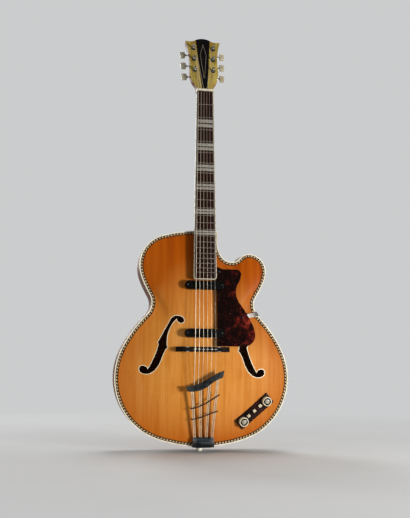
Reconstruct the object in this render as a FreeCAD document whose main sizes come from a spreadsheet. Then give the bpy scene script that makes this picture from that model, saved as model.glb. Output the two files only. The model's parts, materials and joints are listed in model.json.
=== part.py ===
import FreeCAD, Part
import math
import os
import Sketcher
from FreeCAD import Placement, Rotation, Vector
from types import SimpleNamespace

# Archtop guitar, standing upright: +Z along the neck, +X to the treble side, the top faces -Y.
# Y = 0 is half way through the body's depth. Z = 0 is the outer face of the end pin's collar.

# Driving dimensions in millimetres and degrees. Heights on the body are measured from its lower end.
SIZES = {
    "body_length": 522, "edge_depth": 78, "lower_bout": 424, "lower_bout_z": 163,
    "waist_width": 252, "waist_z": 343, "upper_bout": 314, "upper_bout_z": 434,
    "horn_reach": 156, "horn_z": 424, "horn_top_x": 113, "horn_top_z": 467.5,
    "cutaway_x": 70, "cutaway_z": 446.5, "cutaway_side": 34, "cutaway_side_z": 495,
    "arch_center_z": 230, "top_arch": 19, "back_arch": 16, "top_thickness": 5, "back_thickness": 4.5,
    "rib_thickness": 2.6, "binding_width": 3, "purfling_width": 5.4, "purfling_depth": 1.2,
    "ledge_width": 10, "lining_width": 6, "lining_height": 14, "sound_hole_binding": 1.6,
    "tone_bar_width": 8, "tone_bar_depth": 13, "tone_bar_x": 33,
    "scale_length": 642, "compensation": 5.5, "neck_pitch": 3.5, "board_rise": 21,
    "nut_width": 43, "nut_thickness": 5, "board_end_width": 57, "board_length": 479,
    "board_thickness": 6, "board_radius": 305, "board_binding": 2.2, "board_corner": 7,
    "fret_radius": 1.1, "marker_depth": 2.5, "neck_depth": 16, "heel_neck_depth": 18,
    "head_angle": 14, "head_thickness": 14, "face_thickness": 1.5, "head_length": 154,
    "head_top_width": 90, "head_waist_width": 71, "wedge_top_width": 37, "wedge_nut_width": 13,
    "post_x": 24.3, "post_lean": 2, "post_middle": 93, "post_spacing": 34, "post_radius": 3,
    "post_height": 14, "gear_teeth": 14, "gear_module": 0.75, "gear_width": 3, "worm_pitch_radius": 2.75,
    "worm_shaft": 1.5, "plate_metal": 1.2, "button_inner_x": 44, "button_length": 12.5, "button_width": 17,
    "button_thickness": 8,
    "string_spread_nut": 35, "string_spread_bridge": 50, "nut_string_height": 1.3, "action_height": 4.5,
    "pickup_length": 95, "pickup_width": 20.5, "pickup_wall": 1.4, "neck_pickup_s": 492,
    "bridge_pickup_s": 608, "pickup_drop": 1,
    "guard_drop": 7, "guard_thickness": 2.5,
    "bridge_length": 130, "bridge_width": 12, "bridge_base_height": 8, "bridge_offset": -3,
    "bridge_post_spacing": 76, "bridge_post_radius": 2, "wheel_radius": 6.8, "wheel_thickness": 3.5,
    "wheel_gap": 2.6, "saddle_length": 116, "saddle_width": 9, "saddle_fret_length": 7,
    "tail_angle": 11.5, "tail_root_z": 22, "tail_root_rise": 8, "crossbar_thickness": 5,
    "rod_radius": 1.5, "rod_gap": 4.0, "anchor_width": 52, "anchor_metal": 1.5,
    "pin_radius": 7.5, "pin_length": 8, "pin_collar": 2, "pin_collar_radius": 9.5, "pin_shank_radius": 4,
    "console_x": 127.5, "console_z": 84, "console_angle": 40.6, "console_length": 102,
    "console_width": 28, "console_rise": 3, "knob_spacing": 75, "knob_radius": 11.5, "knob_height": 11,
    "knob_stem": 3, "switch_spacing": 18.5, "switch_travel": 4, "jack_radius": 3.2,
}

# Shares that give the bouts their fullness, and the slope of the flanks between bout and waist
LOWER_FULLNESS = 0.5
UPPER_FULLNESS = 0.85
LOWER_FLANK = (0.384, 0.706, 1.74)
UPPER_FLANK = (0.44, 0.38, 1.53)
ARCH_POWER = 2.4
ARCH_SOFTNESS = 1.6
ARCH_SECTIONS = (1.0, 0.955, 0.9, 0.8, 0.66, 0.5, 0.34, 0.18)
ARCH_POINTS = 72
EDGE_SOFTENING = 6
CREST_SOFTENING = 190

FRETS = 22
BODY_FRET = 14
MARKER_FRETS = (3, 5, 7, 9, 12, 15)
MARKER_BARS = (0.3, 0.66)
MARKER_BAR_SHARE = 0.26
STRING_DIAMETERS = (1.3, 1.05, 0.8, 0.6, 0.45, 0.35)
X_AXIS = Vector(1, 0, 0)
Y_AXIS = Vector(0, 1, 0)
Z_AXIS = Vector(0, 0, 1)
FAR = 400

doc = FreeCAD.newDocument("archtop_guitar")
sheet = doc.addObject("Spreadsheet::Sheet", "sizes")
for row, (alias, value) in enumerate(SIZES.items(), start=1):
    sheet.set("A%d" % row, alias)
    sheet.set("B%d" % row, str(value))
    sheet.setAlias("B%d" % row, alias)
doc.recompute()
d = SimpleNamespace(**{alias: float(sheet.get(alias)) for alias in SIZES})
nodes = []


# Helpers that put a piece into the document

def feature(label, shape, placement=None, keep=True):
    obj = doc.addObject("Part::Feature", label)
    obj.Label = label
    obj.Shape = shape
    if placement is not None:
        obj.Placement = placement
    if keep:
        nodes.append(obj)
    return obj


def sketch_on(body, role, points):
    """Closed polyline sketch; every corner is held by two dimensions bound to the sheet."""
    sketch = body.newObject("Sketcher::SketchObject", body.Name + "_sketch")
    plane = [item for item in body.Origin.OriginFeatures if item.Role == role][0]
    sketch.AttachmentSupport = [(plane, "")]
    sketch.MapMode = "FlatFace"
    corners = []
    for point in points:
        corners.append([float(sheet.evalExpression(term.replace("sizes.", ""))) for term in point])
    count = len(points)
    for index in range(count):
        start = Vector(*corners[index], 0)
        end = Vector(*corners[(index + 1) % count], 0)
        sketch.addGeometry(Part.LineSegment(start, end), False)
    for index in range(count):
        sketch.addConstraint(Sketcher.Constraint("Coincident", index, 2, (index + 1) % count, 1))
    for index, point in enumerate(points):
        for kind, term, value in zip(("DistanceX", "DistanceY"), point, corners[index]):
            number = sketch.addConstraint(Sketcher.Constraint(kind, -1, 1, index, 1, value))
            sketch.setExpression("Constraints[%d]" % number, term)
    return sketch


def turned(label, profile, placement, keep=True):
    """Body of revolution about its own Z axis, from (radius, height) expressions."""
    body = doc.addObject("PartDesign::Body", label)
    body.Label = label
    sketch = sketch_on(body, "XZ_Plane", profile)
    turn = body.newObject("PartDesign::Revolution", body.Name + "_turned")
    turn.Profile = sketch
    turn.ReferenceAxis = (sketch, ["V_Axis"])
    turn.Angle = 360
    body.Placement = placement
    doc.recompute()
    if keep:
        nodes.append(body)
    return body


def group(label, members):
    obj = doc.addObject("Part::Compound", label)
    obj.Label = label
    obj.Links = members
    nodes.append(obj)
    return obj


# Outlines: a station is (x, z, heading). Heading None is a corner.
# Two headings are joined by two tangent arcs, one heading by one arc, none by a line.

def unit(heading):
    angle = math.radians(heading)
    return Vector(math.cos(angle), 0, math.sin(angle))


def arc_end_tangent(start, tangent, end):
    chord = (end - start).normalize()
    return chord * (2 * chord.dot(tangent)) - tangent


def two_arcs(start, tangent, end, end_tangent, ratio):
    chord = end - start
    a = 2 * ratio * (tangent.dot(end_tangent) - 1)
    b = -2 * (ratio * chord.dot(tangent) + chord.dot(end_tangent))
    c = chord.dot(chord)
    if abs(a) < 1e-9:
        reach = -c / b
    else:
        reach = (-b - math.sqrt(b * b - 4 * a * c)) / (2 * a)
    first = start + tangent * (ratio * reach)
    second = end - end_tangent * reach
    middle = first + (second - first) * (ratio / (1 + ratio))
    middle_tangent = (second - first).normalize()
    return [(start, tangent, middle, middle_tangent), (middle, middle_tangent, end, end_tangent)]


def segments(stations, closed=True):
    result = []
    last = len(stations) if closed else len(stations) - 1
    for index in range(last):
        x0, z0, heading0 = stations[index][:3]
        x1, z1, heading1 = stations[(index + 1) % len(stations)][:3]
        ratio = stations[index][3] if len(stations[index]) > 3 else 1.0
        start = Vector(x0, 0, z0)
        end = Vector(x1, 0, z1)
        if heading0 is not None and heading1 is not None:
            result += two_arcs(start, unit(heading0), end, unit(heading1), ratio)
        elif heading0 is not None:
            tangent = unit(heading0)
            result.append((start, tangent, end, arc_end_tangent(start, tangent, end)))
        elif heading1 is not None:
            tangent = unit(heading1)
            result.append((start, arc_end_tangent(end, tangent * -1, start) * -1, end, tangent))
        else:
            tangent = (end - start).normalize()
            result.append((start, tangent, end, tangent))
    return result


def moved_inward(segment_list, inset, closed=True):
    """Concentric copy; straight corners are mitred."""
    if inset == 0:
        return segment_list
    moved = []
    for start, tangent, end, end_tangent in segment_list:
        start = start + Vector(-tangent.z, 0, tangent.x) * inset
        end = end + Vector(-end_tangent.z, 0, end_tangent.x) * inset
        moved.append([start, tangent, end, end_tangent])
    for index in range(len(moved) if closed else len(moved) - 1):
        item = moved[index]
        follower = moved[(index + 1) % len(moved)]
        if item[3].dot(follower[1]) < 0.999:
            gap = follower[0] - item[2]
            item[2] = item[2] + item[3] * gap.dot(item[3])
            follower[0] = item[2]
    return moved


def edge_between(start, tangent, end):
    chord = end - start
    along = chord.dot(tangent) / chord.Length
    if along > 0.9999999:
        return Part.LineSegment(start, end).toShape()
    side = (tangent - chord * (along / chord.Length)).normalize()
    sagitta = chord.Length / 2 * math.tan(math.acos(max(-1.0, along)) / 2)
    return Part.Arc(start, (start + end) * 0.5 + side * sagitta, end).toShape()


def wire_of(segment_list, y=0.0, center=None, share=1.0):
    edges = []
    for start, tangent, end, _ in segment_list:
        if center is not None:
            start = center + (start - center) * share
            end = center + (end - center) * share
        edges.append(edge_between(start + Y_AXIS * y, tangent, end + Y_AXIS * y))
    return Part.Wire(edges)


def prism(wire, y0, y1):
    """Solid between two depths on a wire that is drawn at depth zero."""
    solid = Part.Face(wire).extrude(Y_AXIS * (y1 - y0))
    solid.translate(Y_AXIS * y0)
    return solid


def block(x0, x1, y0, y1, z0, z1):
    return Part.makeBox(x1 - x0, y1 - y0, z1 - z0, Vector(x0, y0, z0))


def rod(start, end, radius):
    axis = end - start
    return Part.makeCylinder(radius, axis.Length, start, axis)


# The body's frame

base_z = d.pin_collar + d.anchor_metal
front = -d.edge_depth / 2
back = d.edge_depth / 2
top_z = base_z + d.body_length


def flank(wide, wide_z, narrow, narrow_z, shares):
    """Station between a bout and the waist: half width, height and slope from the vertical."""
    x = narrow + shares[0] * (wide - narrow)
    z = wide_z + shares[1] * (narrow_z - wide_z)
    slope = math.degrees(math.atan(shares[2] * (wide - narrow) / abs(narrow_z - wide_z)))
    return x, z, slope


lower = d.lower_bout / 2
upper = d.upper_bout / 2
waist = d.waist_width / 2
low_x, low_z, low_slope = flank(lower, d.lower_bout_z, waist, d.waist_z, LOWER_FLANK)
bass_x, bass_z, bass_slope = flank(upper, d.waist_z, waist, d.upper_bout_z, UPPER_FLANK)
horn_x, horn_flank_z, horn_slope = flank(d.horn_reach, d.waist_z, waist, d.horn_z, UPPER_FLANK)

body_stations = [
    (0, 0, 0, LOWER_FULLNESS),
    (lower, d.lower_bout_z, 90),
    (low_x, low_z, 90 + low_slope),
    (waist, d.waist_z, 90),
    (horn_x, horn_flank_z, 90 - horn_slope),
    (d.horn_reach, d.horn_z, 90),
    (d.horn_top_x, d.horn_top_z, 180),
    (d.cutaway_x, d.cutaway_z, 180),
    (d.cutaway_side, d.cutaway_side_z, 90),
    (d.cutaway_side, d.body_length, None),
    (0, d.body_length, 180, UPPER_FULLNESS),
    (-upper, d.upper_bout_z, 270),
    (-bass_x, bass_z, 270 + bass_slope),
    (-waist, d.waist_z, 270),
    (-low_x, low_z, 270 - low_slope),
    (-lower, d.lower_bout_z, 270, 1 / LOWER_FULLNESS),
]
body_stations = [(station[0], station[1] + base_z) + tuple(station[2:]) for station in body_stations]
body_outline = segments(body_stations)
arch_center = Vector(0, 0, base_z + d.arch_center_z)


def outline_wire(inset):
    return wire_of(moved_inward(body_outline, inset))


def slab(inset, y0, y1):
    return prism(outline_wire(inset), y0, y1)


def ring(outer_inset, inner_inset, y0, y1):
    return slab(outer_inset, y0, y1).cut(slab(inner_inset, y0 - 1, y1 + 1))


def arch_share(share):
    return (1 - share ** ARCH_POWER) ** ARCH_SOFTNESS


def softened(points, spread):
    """Closed row of evenly spaced points, each replaced by the mean of its neighbourhood."""
    count = len(points)
    spacing = (points[1] - points[0]).Length
    weights = [math.exp(-(min(step, count - step) * spacing / spread) ** 2 / 2) for step in range(count)]
    total = sum(weights)
    result = []
    for index in range(count):
        mean = Vector()
        for step, weight in enumerate(weights):
            mean += points[(index + step) % count] * (weight / total)
        result.append(mean)
    return result


def dome(arch, y0, side):
    """Carved arch as a solid standing on the ledge; side -1 rises to the front, +1 to the back.
    Its contour lines lose the outline's corners and waist towards the crest."""
    ledge = outline_wire(d.ledge_width).discretize(Number=ARCH_POINTS + 1)[:-1]
    wires = []
    for share in ARCH_SECTIONS:
        contour = softened(ledge, EDGE_SOFTENING + CREST_SOFTENING * (1 - share) ** 1.5)
        lift = Y_AXIS * (y0 + side * arch * arch_share(share))
        curve = Part.BSplineCurve()
        curve.interpolate(Points=[arch_center + (point - arch_center) * share + lift for point in contour],
                          PeriodicFlag=True)
        wires.append(Part.Wire(curve.toShape()))
    return Part.makeLoft(wires, True, False)


def carved_plate(arch, thickness, y0, side):
    outer = dome(arch, y0, side)
    inner = outer.copy()
    inner.translate(Y_AXIS * (-side * thickness))
    flat = slab(d.binding_width, min(y0, y0 - side * thickness), max(y0, y0 - side * thickness))
    return flat.fuse(outer).cut(inner), outer, inner


top, top_dome, top_hollow = carved_plate(d.top_arch, d.top_thickness, front, -1)
back_plate, back_dome, back_hollow = carved_plate(d.back_arch, d.back_thickness, back, 1)


def top_surface_y(x, z):
    """Depth of the top's outer face at a place on it."""
    probe = Part.makeLine(Vector(x, front - FAR, z), Vector(x, front + d.top_thickness, z))
    hits = probe.common(top_dome)
    return min([vertex.Y for vertex in hits.Vertexes] + [front])


behind_top = block(-FAR, FAR, front, FAR, -FAR, 2 * FAR)


def seated(shape):
    """The piece with everything removed that would lie inside the arched top."""
    return shape.cut(top_dome).cut(behind_top)


# Sound holes, drawn on the bass side; the treble one is mirrored and sits a little lower
TREBLE_HOLE_SHIFT = Vector(-2, 0, -7)
HOLE_REACH = 40
SOUND_HOLE = [
    (-48.5, 300.5, 90), (-65, 311.5, 180), (-92, 281, 240), (-107.5, 251.5, None), (-111, 247.5, None),
    (-108.5, 243.5, None), (-115, 221, 250), (-133.5, 183, None), (-146, 191.5, 180), (-154, 183.5, 270),
    (-137.5, 172, 0), (-110, 190, 58), (-94.5, 226, 65), (-90.5, 232, None), (-87, 236, None),
    (-89.5, 240.5, None), (-88.5, 260, 84), (-81, 284, 66), (-65.6, 304.5, None), (-55.5, 294, 0),
]
hole_stations = [(x, z + base_z, heading) for x, z, heading in SOUND_HOLE]
hole_wire = wire_of(segments(hole_stations))
hole_outer_wire = hole_wire.makeOffset2D(d.sound_hole_binding)


def both_sides(shape, treble_shift=Vector()):
    mirrored = shape.mirror(Vector(0, 0, 0), X_AXIS)
    mirrored.translate(treble_shift)
    return Part.makeCompound([shape, mirrored])


hole_cut = prism(hole_outer_wire, front - HOLE_REACH, front + HOLE_REACH)
hole_ring = hole_cut.cut(prism(hole_wire, front - HOLE_REACH - 1, front + HOLE_REACH + 1))
hole_outer = both_sides(hole_cut, TREBLE_HOLE_SHIFT)
hole_rings = both_sides(hole_ring, TREBLE_HOLE_SHIFT)

# Console frame: tangent to the arch, local X along the console, local Y into the body
console_point = Vector(d.console_x, 0, base_z + d.console_z)
console_u = unit(d.console_angle)
console_v = unit(d.console_angle + 90)


def console_slope(direction, reach):
    ahead = console_point + direction * reach
    behind = console_point - direction * reach
    return (top_surface_y(ahead.x, ahead.z) - top_surface_y(behind.x, behind.z)) / (2 * reach)


long_axis = console_u + Y_AXIS * console_slope(console_u, d.console_length * 0.4)
short_axis = console_v + Y_AXIS * console_slope(console_v, d.console_width * 0.4)
console_point.y = top_surface_y(console_point.x, console_point.z) - d.console_rise
console = Placement(console_point, Rotation(long_axis, short_axis.cross(long_axis), short_axis, "XYZ"))


def in_frame(shape, frame):
    placed = shape.copy()
    placed.Placement = frame.multiply(placed.Placement)
    return placed


CONSOLE_RIM = 4
CONSOLE_REACH = 40


def console_window(start):
    """Opening behind the console plate, from a depth in the console's frame into the body."""
    half_length = d.console_length / 2 - CONSOLE_RIM
    half_width = d.console_width / 2 - CONSOLE_RIM
    return in_frame(block(-half_length, half_length, start, CONSOLE_REACH, -half_width, half_width), console)


# Plates, ribs and what holds them together
purfling_groove = ring(d.binding_width, d.binding_width + d.purfling_width, front, front + d.purfling_depth)
feature("top_plate", top.cut(hole_outer).cut(console_window(0)).cut(purfling_groove))
feature("top_purfling", purfling_groove)
feature("sound_hole_binding", top.common(hole_rings))
feature("back_plate", back_plate)
feature("top_binding", ring(0, d.binding_width, front, front + d.top_thickness))
feature("back_binding", ring(0, d.binding_width, back - d.back_thickness, back))

inner_front = front + d.top_thickness
inner_back = back - d.back_thickness
cavity = slab(d.rib_thickness, inner_front, inner_back)
PIN_SHANK_LENGTH = 26
pin_shank = Part.makeCylinder(d.pin_shank_radius, PIN_SHANK_LENGTH, Vector(0, 0, 0), Z_AXIS)

# Output jack half way round the lower treble bout, pointing straight out of the rib
arc_start, arc_tangent, arc_end, arc_last = body_outline[1]
bout_edge = edge_between(arc_start, arc_tangent, arc_end)
jack_point = bout_edge.valueAt((bout_edge.FirstParameter + bout_edge.LastParameter) / 2)
jack_along = (arc_tangent + arc_last).normalize()
jack_out = Vector(jack_along.z, 0, -jack_along.x)
JACK_BUSHING = 5
JACK_BODY = 9
JACK_NUT = 7.5
JACK_NUT_HEIGHT = 2.5
JACK_LENGTH = 22
JACK_BORE = 18
jack_hole = rod(jack_point - jack_out * JACK_LENGTH, jack_point + jack_out * JACK_LENGTH, JACK_BUSHING)
jack_inside = jack_point - jack_out * (d.rib_thickness + 1)
jack = rod(jack_inside - jack_out * JACK_LENGTH, jack_inside, JACK_BODY)
jack = jack.common(slab(d.rib_thickness, -FAR, FAR))
jack = jack.fuse(rod(jack_inside, jack_point + jack_out * (JACK_NUT_HEIGHT + 1), JACK_BUSHING))
jack_collar = rod(jack_point - jack_out * JACK_NUT_HEIGHT, jack_point + jack_out * JACK_NUT_HEIGHT, JACK_NUT)
jack = jack.fuse(jack_collar.cut(slab(0, -FAR, FAR)))
jack = jack.cut(rod(jack_inside - jack_out * JACK_BORE, jack_point + jack_out * JACK_LENGTH, d.jack_radius))

ribs = ring(0, d.rib_thickness, inner_front, inner_back).cut(pin_shank).cut(jack_hole)
rib_joint_z = base_z + d.waist_z
feature("bass_rib", ribs.common(block(-FAR, 0, -FAR, FAR, -FAR, 2 * FAR)))
feature("treble_rib", ribs.common(block(0, FAR, -FAR, FAR, -FAR, rib_joint_z)))
feature("cutaway_rib", ribs.common(block(0, FAR, -FAR, FAR, rib_joint_z, 2 * FAR)))
feature("output_jack", jack)

BLOCK_DEPTH = 56
TAIL_BLOCK_DEPTH = 24
BLOCK_HALF_WIDTH = 42
neck_block = cavity.common(block(-BLOCK_HALF_WIDTH, d.cutaway_side - d.rib_thickness - 1, -FAR, FAR,
                                 top_z - BLOCK_DEPTH, top_z))
tail_block = cavity.common(block(-BLOCK_HALF_WIDTH, BLOCK_HALF_WIDTH, -FAR, FAR,
                                 base_z, base_z + TAIL_BLOCK_DEPTH))
lining_inset = d.rib_thickness + d.lining_width
lining_rings = Part.makeCompound([
    ring(d.rib_thickness, lining_inset, inner_front, inner_front + d.lining_height),
    ring(d.rib_thickness, lining_inset, inner_back - d.lining_height, inner_back)])
feature("end_blocks", Part.makeCompound([neck_block, tail_block.cut(pin_shank)]))
feature("linings", lining_rings.cut(neck_block).cut(tail_block))

TONE_BAR_ENDS = (112, 350)
bar_floor = inner_front - d.top_arch + d.tone_bar_depth
half = d.tone_bar_width / 2
tone_bar = block(d.tone_bar_x - half, d.tone_bar_x + half, bar_floor - FAR, bar_floor,
                 base_z + TONE_BAR_ENDS[0], base_z + TONE_BAR_ENDS[1])
feature("tone_bars", top_hollow.common(both_sides(tone_bar)))

# Neck frame: origin at the nut's edge on the board's crown, local -Z down the board, local Y into the neck.
# Head frame: on the neck's upper face behind the nut, local Z up the headstock.


def fret_position(number):
    return d.scale_length * (1 - 2 ** (-number / 12))


neck_along = Vector(0, math.sin(math.radians(d.neck_pitch)), math.cos(math.radians(d.neck_pitch)))
joint_s = fret_position(BODY_FRET)
neck_joint = Vector(0, front - d.board_rise, top_z)
neck = Placement(neck_joint + neck_along * joint_s, Rotation(X_AXIS, -d.neck_pitch))
behind_nut = Vector(0, d.board_thickness, d.nut_thickness)
head = neck.multiply(Placement(behind_nut, Rotation(X_AXIS, -d.head_angle)))


def board_half(s, inset=0.0):
    return (d.nut_width + (d.board_end_width - d.nut_width) * s / d.board_length) / 2 - inset


def board_wire(inset):
    """Tapered plan of the fingerboard with a rounded lower end, moved in on three sides."""
    length = d.board_length - inset
    corner = d.board_corner - inset
    taper = math.degrees(math.atan(board_half(1) - board_half(0)))
    side_x = board_half(length - corner, inset)
    end_x = board_half(length, inset) - corner
    stations = [
        (-board_half(0, inset), 0, None), (-side_x, corner - length, 270 - taper), (-end_x, -length, 0),
        (end_x, -length, 0), (side_x, corner - length, 90 + taper), (board_half(0, inset), 0, None)]
    return wire_of(segments(stations))


crown_foot = Vector(0, d.board_radius, -d.board_length - 1)
crown = Part.makeCylinder(d.board_radius, d.board_length + 2, crown_foot, Z_AXIS)
board = prism(board_wire(d.board_binding), 0, d.board_thickness).common(crown)
board_edge = prism(board_wire(0), 0, d.board_thickness).cut(
    prism(board_wire(d.board_binding), -1, d.board_thickness + 1)).common(crown)
marker_boxes = []
for number in MARKER_FRETS:
    low = fret_position(number - 1)
    gap = fret_position(number) - low
    for share in MARKER_BARS:
        middle = low + gap * share
        half = board_half(middle, d.board_binding + 1)
        reach = gap * MARKER_BAR_SHARE / 2
        marker_boxes.append(block(-half, half, -5, d.marker_depth, -middle - reach, -middle + reach))
markers = Part.makeCompound(marker_boxes)
feature("fingerboard", board.cut(markers), neck)
feature("fingerboard_binding", board_edge, neck)
feature("position_markers", board.common(markers), neck)

FRET_INSET = 0.5
frets = []
for number in range(1, FRETS + 1):
    s = fret_position(number)
    low = Vector(0, 0, -s - d.fret_radius)
    high = Vector(0, 0, -s + d.fret_radius)
    crest = Vector(0, -d.fret_radius, -s)
    half_round = Part.Wire([Part.Arc(low, crest, high).toShape(), Part.makeLine(high, low)])
    angle = math.degrees(math.asin(board_half(s, FRET_INSET) / d.board_radius))
    profile = Part.Face(half_round)
    profile.rotate(Vector(0, d.board_radius, 0), Z_AXIS, -angle)
    frets.append(profile.revolve(Vector(0, d.board_radius, 0), Z_AXIS, 2 * angle))
feature("frets", Part.makeCompound(frets), neck)

# Neck with heel, extension under the board and headstock core


def d_section(half, depth, frame):
    """Flat upper face and a round back, as a closed wire."""
    left = Vector(-half, 0, 0)
    right = Vector(half, 0, 0)
    wire = Part.Wire([Part.makeLine(left, right), Part.Arc(right, Vector(0, depth, 0), left).toShape()])
    wire.Placement = frame
    return wire


def at_neck(s, y):
    return neck.multiply(Placement(Vector(0, y, -s), Rotation()))


shaft_end = joint_s + 10
shaft = Part.makeLoft([
    d_section(board_half(0), d.neck_depth, at_neck(-d.nut_thickness, d.board_thickness)),
    d_section(board_half(shaft_end), d.heel_neck_depth, at_neck(shaft_end, d.board_thickness))], True, True)
VOLUTE_LENGTH = 24
volute = Part.makeLoft([
    d_section(board_half(0), d.neck_depth, at_neck(12, d.board_thickness)),
    d_section(board_half(0), d.neck_depth, at_neck(-d.nut_thickness, d.board_thickness)),
    d_section(board_half(0) + 3, d.head_thickness + d.face_thickness,
              head.multiply(Placement(Vector(0, d.face_thickness, VOLUTE_LENGTH), Rotation())))], True, True)

HEEL_SECTIONS = ((0.12, 25, 62), (0.5, 19, 27), (1.0, 14, 15))
heel_front = front - d.board_rise + d.board_thickness
heel_wires = []
for share, half, length in HEEL_SECTIONS:
    y = heel_front + (back - heel_front) * share
    foot = top_z - 3
    stations = [(half, foot, 90), (0, top_z + length, 180), (-half, foot, 270)]
    edges = [edge_between(*item[:3]) for item in segments(stations, closed=False)]
    edges.append(Part.makeLine(Vector(-half, 0, foot), Vector(half, 0, foot)))
    outline = Part.Wire(edges)
    outline.translate(Y_AXIS * y)
    heel_wires.append(outline)
heel = Part.makeLoft(heel_wires, True, False)

EXTENSION_DEPTH = 9
extension_end = d.board_length - 9
extension = in_frame(block(-board_half(joint_s, 5), board_half(joint_s, 5), d.board_thickness,
                           d.board_thickness + EXTENSION_DEPTH, -extension_end, 20 - joint_s), neck)

top_half = d.head_top_width / 2
waist_half = d.head_waist_width / 2
wedge_half = d.wedge_top_width / 2
nut_half = d.nut_width / 2
HEAD_CROWN = 5
wing_half = (top_half + wedge_half) / 2
wing_z = d.head_length - 5
tip_z = d.head_length - 4
head_stations = [
    (-nut_half, -2, None), (nut_half, -2, None), (nut_half, 6, 80), (waist_half - 1, 36, 78),
    (waist_half, 92, 88), (top_half, tip_z, None), (wing_half, wing_z, 180),
    (wedge_half, d.head_length, None), (0, d.head_length + HEAD_CROWN, 180), (-wedge_half, d.head_length, None),
    (-wing_half, wing_z, 180), (-top_half, tip_z, None), (-waist_half, 92, 272),
    (1 - waist_half, 36, 282), (-nut_half, 6, 280)]
head_wire = wire_of(segments(head_stations))
face = prism(head_wire, 0, d.face_thickness)
face = face.cut(block(-FAR, FAR, -1, 10, -10, 0))
wedge_corners = [(-d.wedge_nut_width / 2, -5, None), (d.wedge_nut_width / 2, -5, None),
                 (wedge_half, d.head_length, None), (wedge_half, d.head_length + 20, None),
                 (-wedge_half, d.head_length + 20, None), (-wedge_half, d.head_length, None)]
wedge = prism(wire_of(segments(wedge_corners)), -1, d.face_thickness + 1)

# Each row of three tuners leans outwards towards the top, in a frame of its own
tuner_rows = {side: Placement(Vector(side * d.post_x, 0, d.post_middle), Rotation(Y_AXIS, side * d.post_lean))
              for side in (-1, 1)}
posts = []
for index in range(6):
    side = -1 if index < 3 else 1
    step = index - 1 if index < 3 else 4 - index
    row_z = step * d.post_spacing
    center = tuner_rows[side].multVec(Vector(0, 0, row_z))
    posts.append(SimpleNamespace(name=str(index + 1), side=side, row_z=row_z, x=center.x, z=center.z))

BUSHING_RADIUS = 4.5
bushing_holes = Part.makeCompound([
    rod(Vector(post.x, -1, post.z), Vector(post.x, 40, post.z), BUSHING_RADIUS) for post in posts])
core = prism(head_wire, d.face_thickness, d.face_thickness + d.head_thickness)
core = in_frame(core, head)
feature("headstock_face", face.cut(wedge).cut(bushing_holes), head)
feature("headstock_wedge", face.common(wedge), head)

neck_wood = shaft.fuse([volute, core, heel, extension])
neck_wood = neck_wood.cut(slab(0, front, back + FAR)).cut(in_frame(bushing_holes, head))
neck_wood = neck_wood.cut(in_frame(block(-FAR, FAR, -FAR, d.board_thickness, -FAR, FAR / 2), neck).common(
    in_frame(block(-FAR, FAR, -FAR, FAR, -2 * FAR, d.nut_thickness), neck)))
neck_wood = neck_wood.cut(in_frame(block(-FAR, FAR, -FAR, d.face_thickness, 0, FAR), head))
feature("neck", neck_wood)

# Tuners: post with gear wheel, worm shaft with button, bearing plates on the headstock's back
wood_back = d.face_thickness + d.head_thickness
gear_radius = d.gear_module * d.gear_teeth / 2
worm_distance = gear_radius + d.worm_pitch_radius
worm_lead = math.pi * d.gear_module
GEAR_CLEARANCE = 1.1
gear_y = wood_back + d.plate_metal + GEAR_CLEARANCE + d.gear_width / 2
TO_FRONT = Rotation(X_AXIS, 90)
TOOTH_TIP = (0.7, 0.25)
TOOTH_ROOT = (-0.85, 0.65)


def gear_wheel():
    """Straight-cut wheel about local Y, with a tooth gap towards local -Z."""
    corners = []
    count = int(d.gear_teeth)
    for tooth in range(count):
        middle = 2 * math.pi * (tooth + 0.5) / count
        for (rise, half), sign in ((TOOTH_ROOT, -1), (TOOTH_TIP, -1), (TOOTH_TIP, 1), (TOOTH_ROOT, 1)):
            radius = gear_radius + rise
            angle = middle + sign * half / radius
            corners.append(Vector(radius * math.sin(angle), 0, -radius * math.cos(angle)))
    wheel = prism(Part.makePolygon(corners + corners[:1]), -d.gear_width / 2, d.gear_width / 2)
    return wheel.cut(rod(Vector(0, -20, 0), Vector(0, 20, 0), d.post_radius))


WORM_TURNS = 3
THREAD_TIP = (3.5, 0.24)
THREAD_ROOT = (1.7, 0.62)
WORM_CORE = 1.9
SHAFT_INNER = 7.5


def worm_shaft(outer_reach):
    """Worm about local Z, its thread centred on the origin, with a shaft on both sides."""
    length = WORM_TURNS * worm_lead
    helix = Part.makeHelix(worm_lead, length, THREAD_ROOT[0])
    tip, tip_half = THREAD_TIP
    root, root_half = THREAD_ROOT
    corners = [Vector(root, 0, -root_half), Vector(tip, 0, -tip_half), Vector(tip, 0, tip_half),
               Vector(root, 0, root_half)]
    profile = Part.makePolygon(corners + corners[:1])
    thread = Part.Wire(helix).makePipeShell([profile], True, True)
    thread.translate(Z_AXIS * (-length / 2))
    core = Part.makeCylinder(WORM_CORE, length + 2, Vector(0, 0, -length / 2 - 1), Z_AXIS)
    shaft = Part.makeCylinder(d.worm_shaft, SHAFT_INNER + outer_reach, Vector(0, 0, -SHAFT_INNER), Z_AXIS)
    return core.fuse(thread).fuse(shaft)


BUTTON_ROUND = 2.6
BUTTON_NECK_RADIUS = 3
BUTTON_NECK = 2
button_start = d.button_inner_x - d.post_x
shaft_reach = button_start + d.button_length * 0.6
worm = worm_shaft(shaft_reach)
button = block(-d.button_width / 2, d.button_width / 2, -d.button_thickness / 2, d.button_thickness / 2,
               button_start, button_start + d.button_length)
button = button.makeFillet(BUTTON_ROUND, button.Edges)
button_neck = Vector(0, 0, button_start - BUTTON_NECK)
button = button.fuse(Part.makeCylinder(BUTTON_NECK_RADIUS, BUTTON_NECK + 1, button_neck, Z_AXIS))
button = button.cut(Part.makeCylinder(d.worm_shaft, shaft_reach, Vector(0, 0, 0), Z_AXIS))
wheel = gear_wheel()

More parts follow.
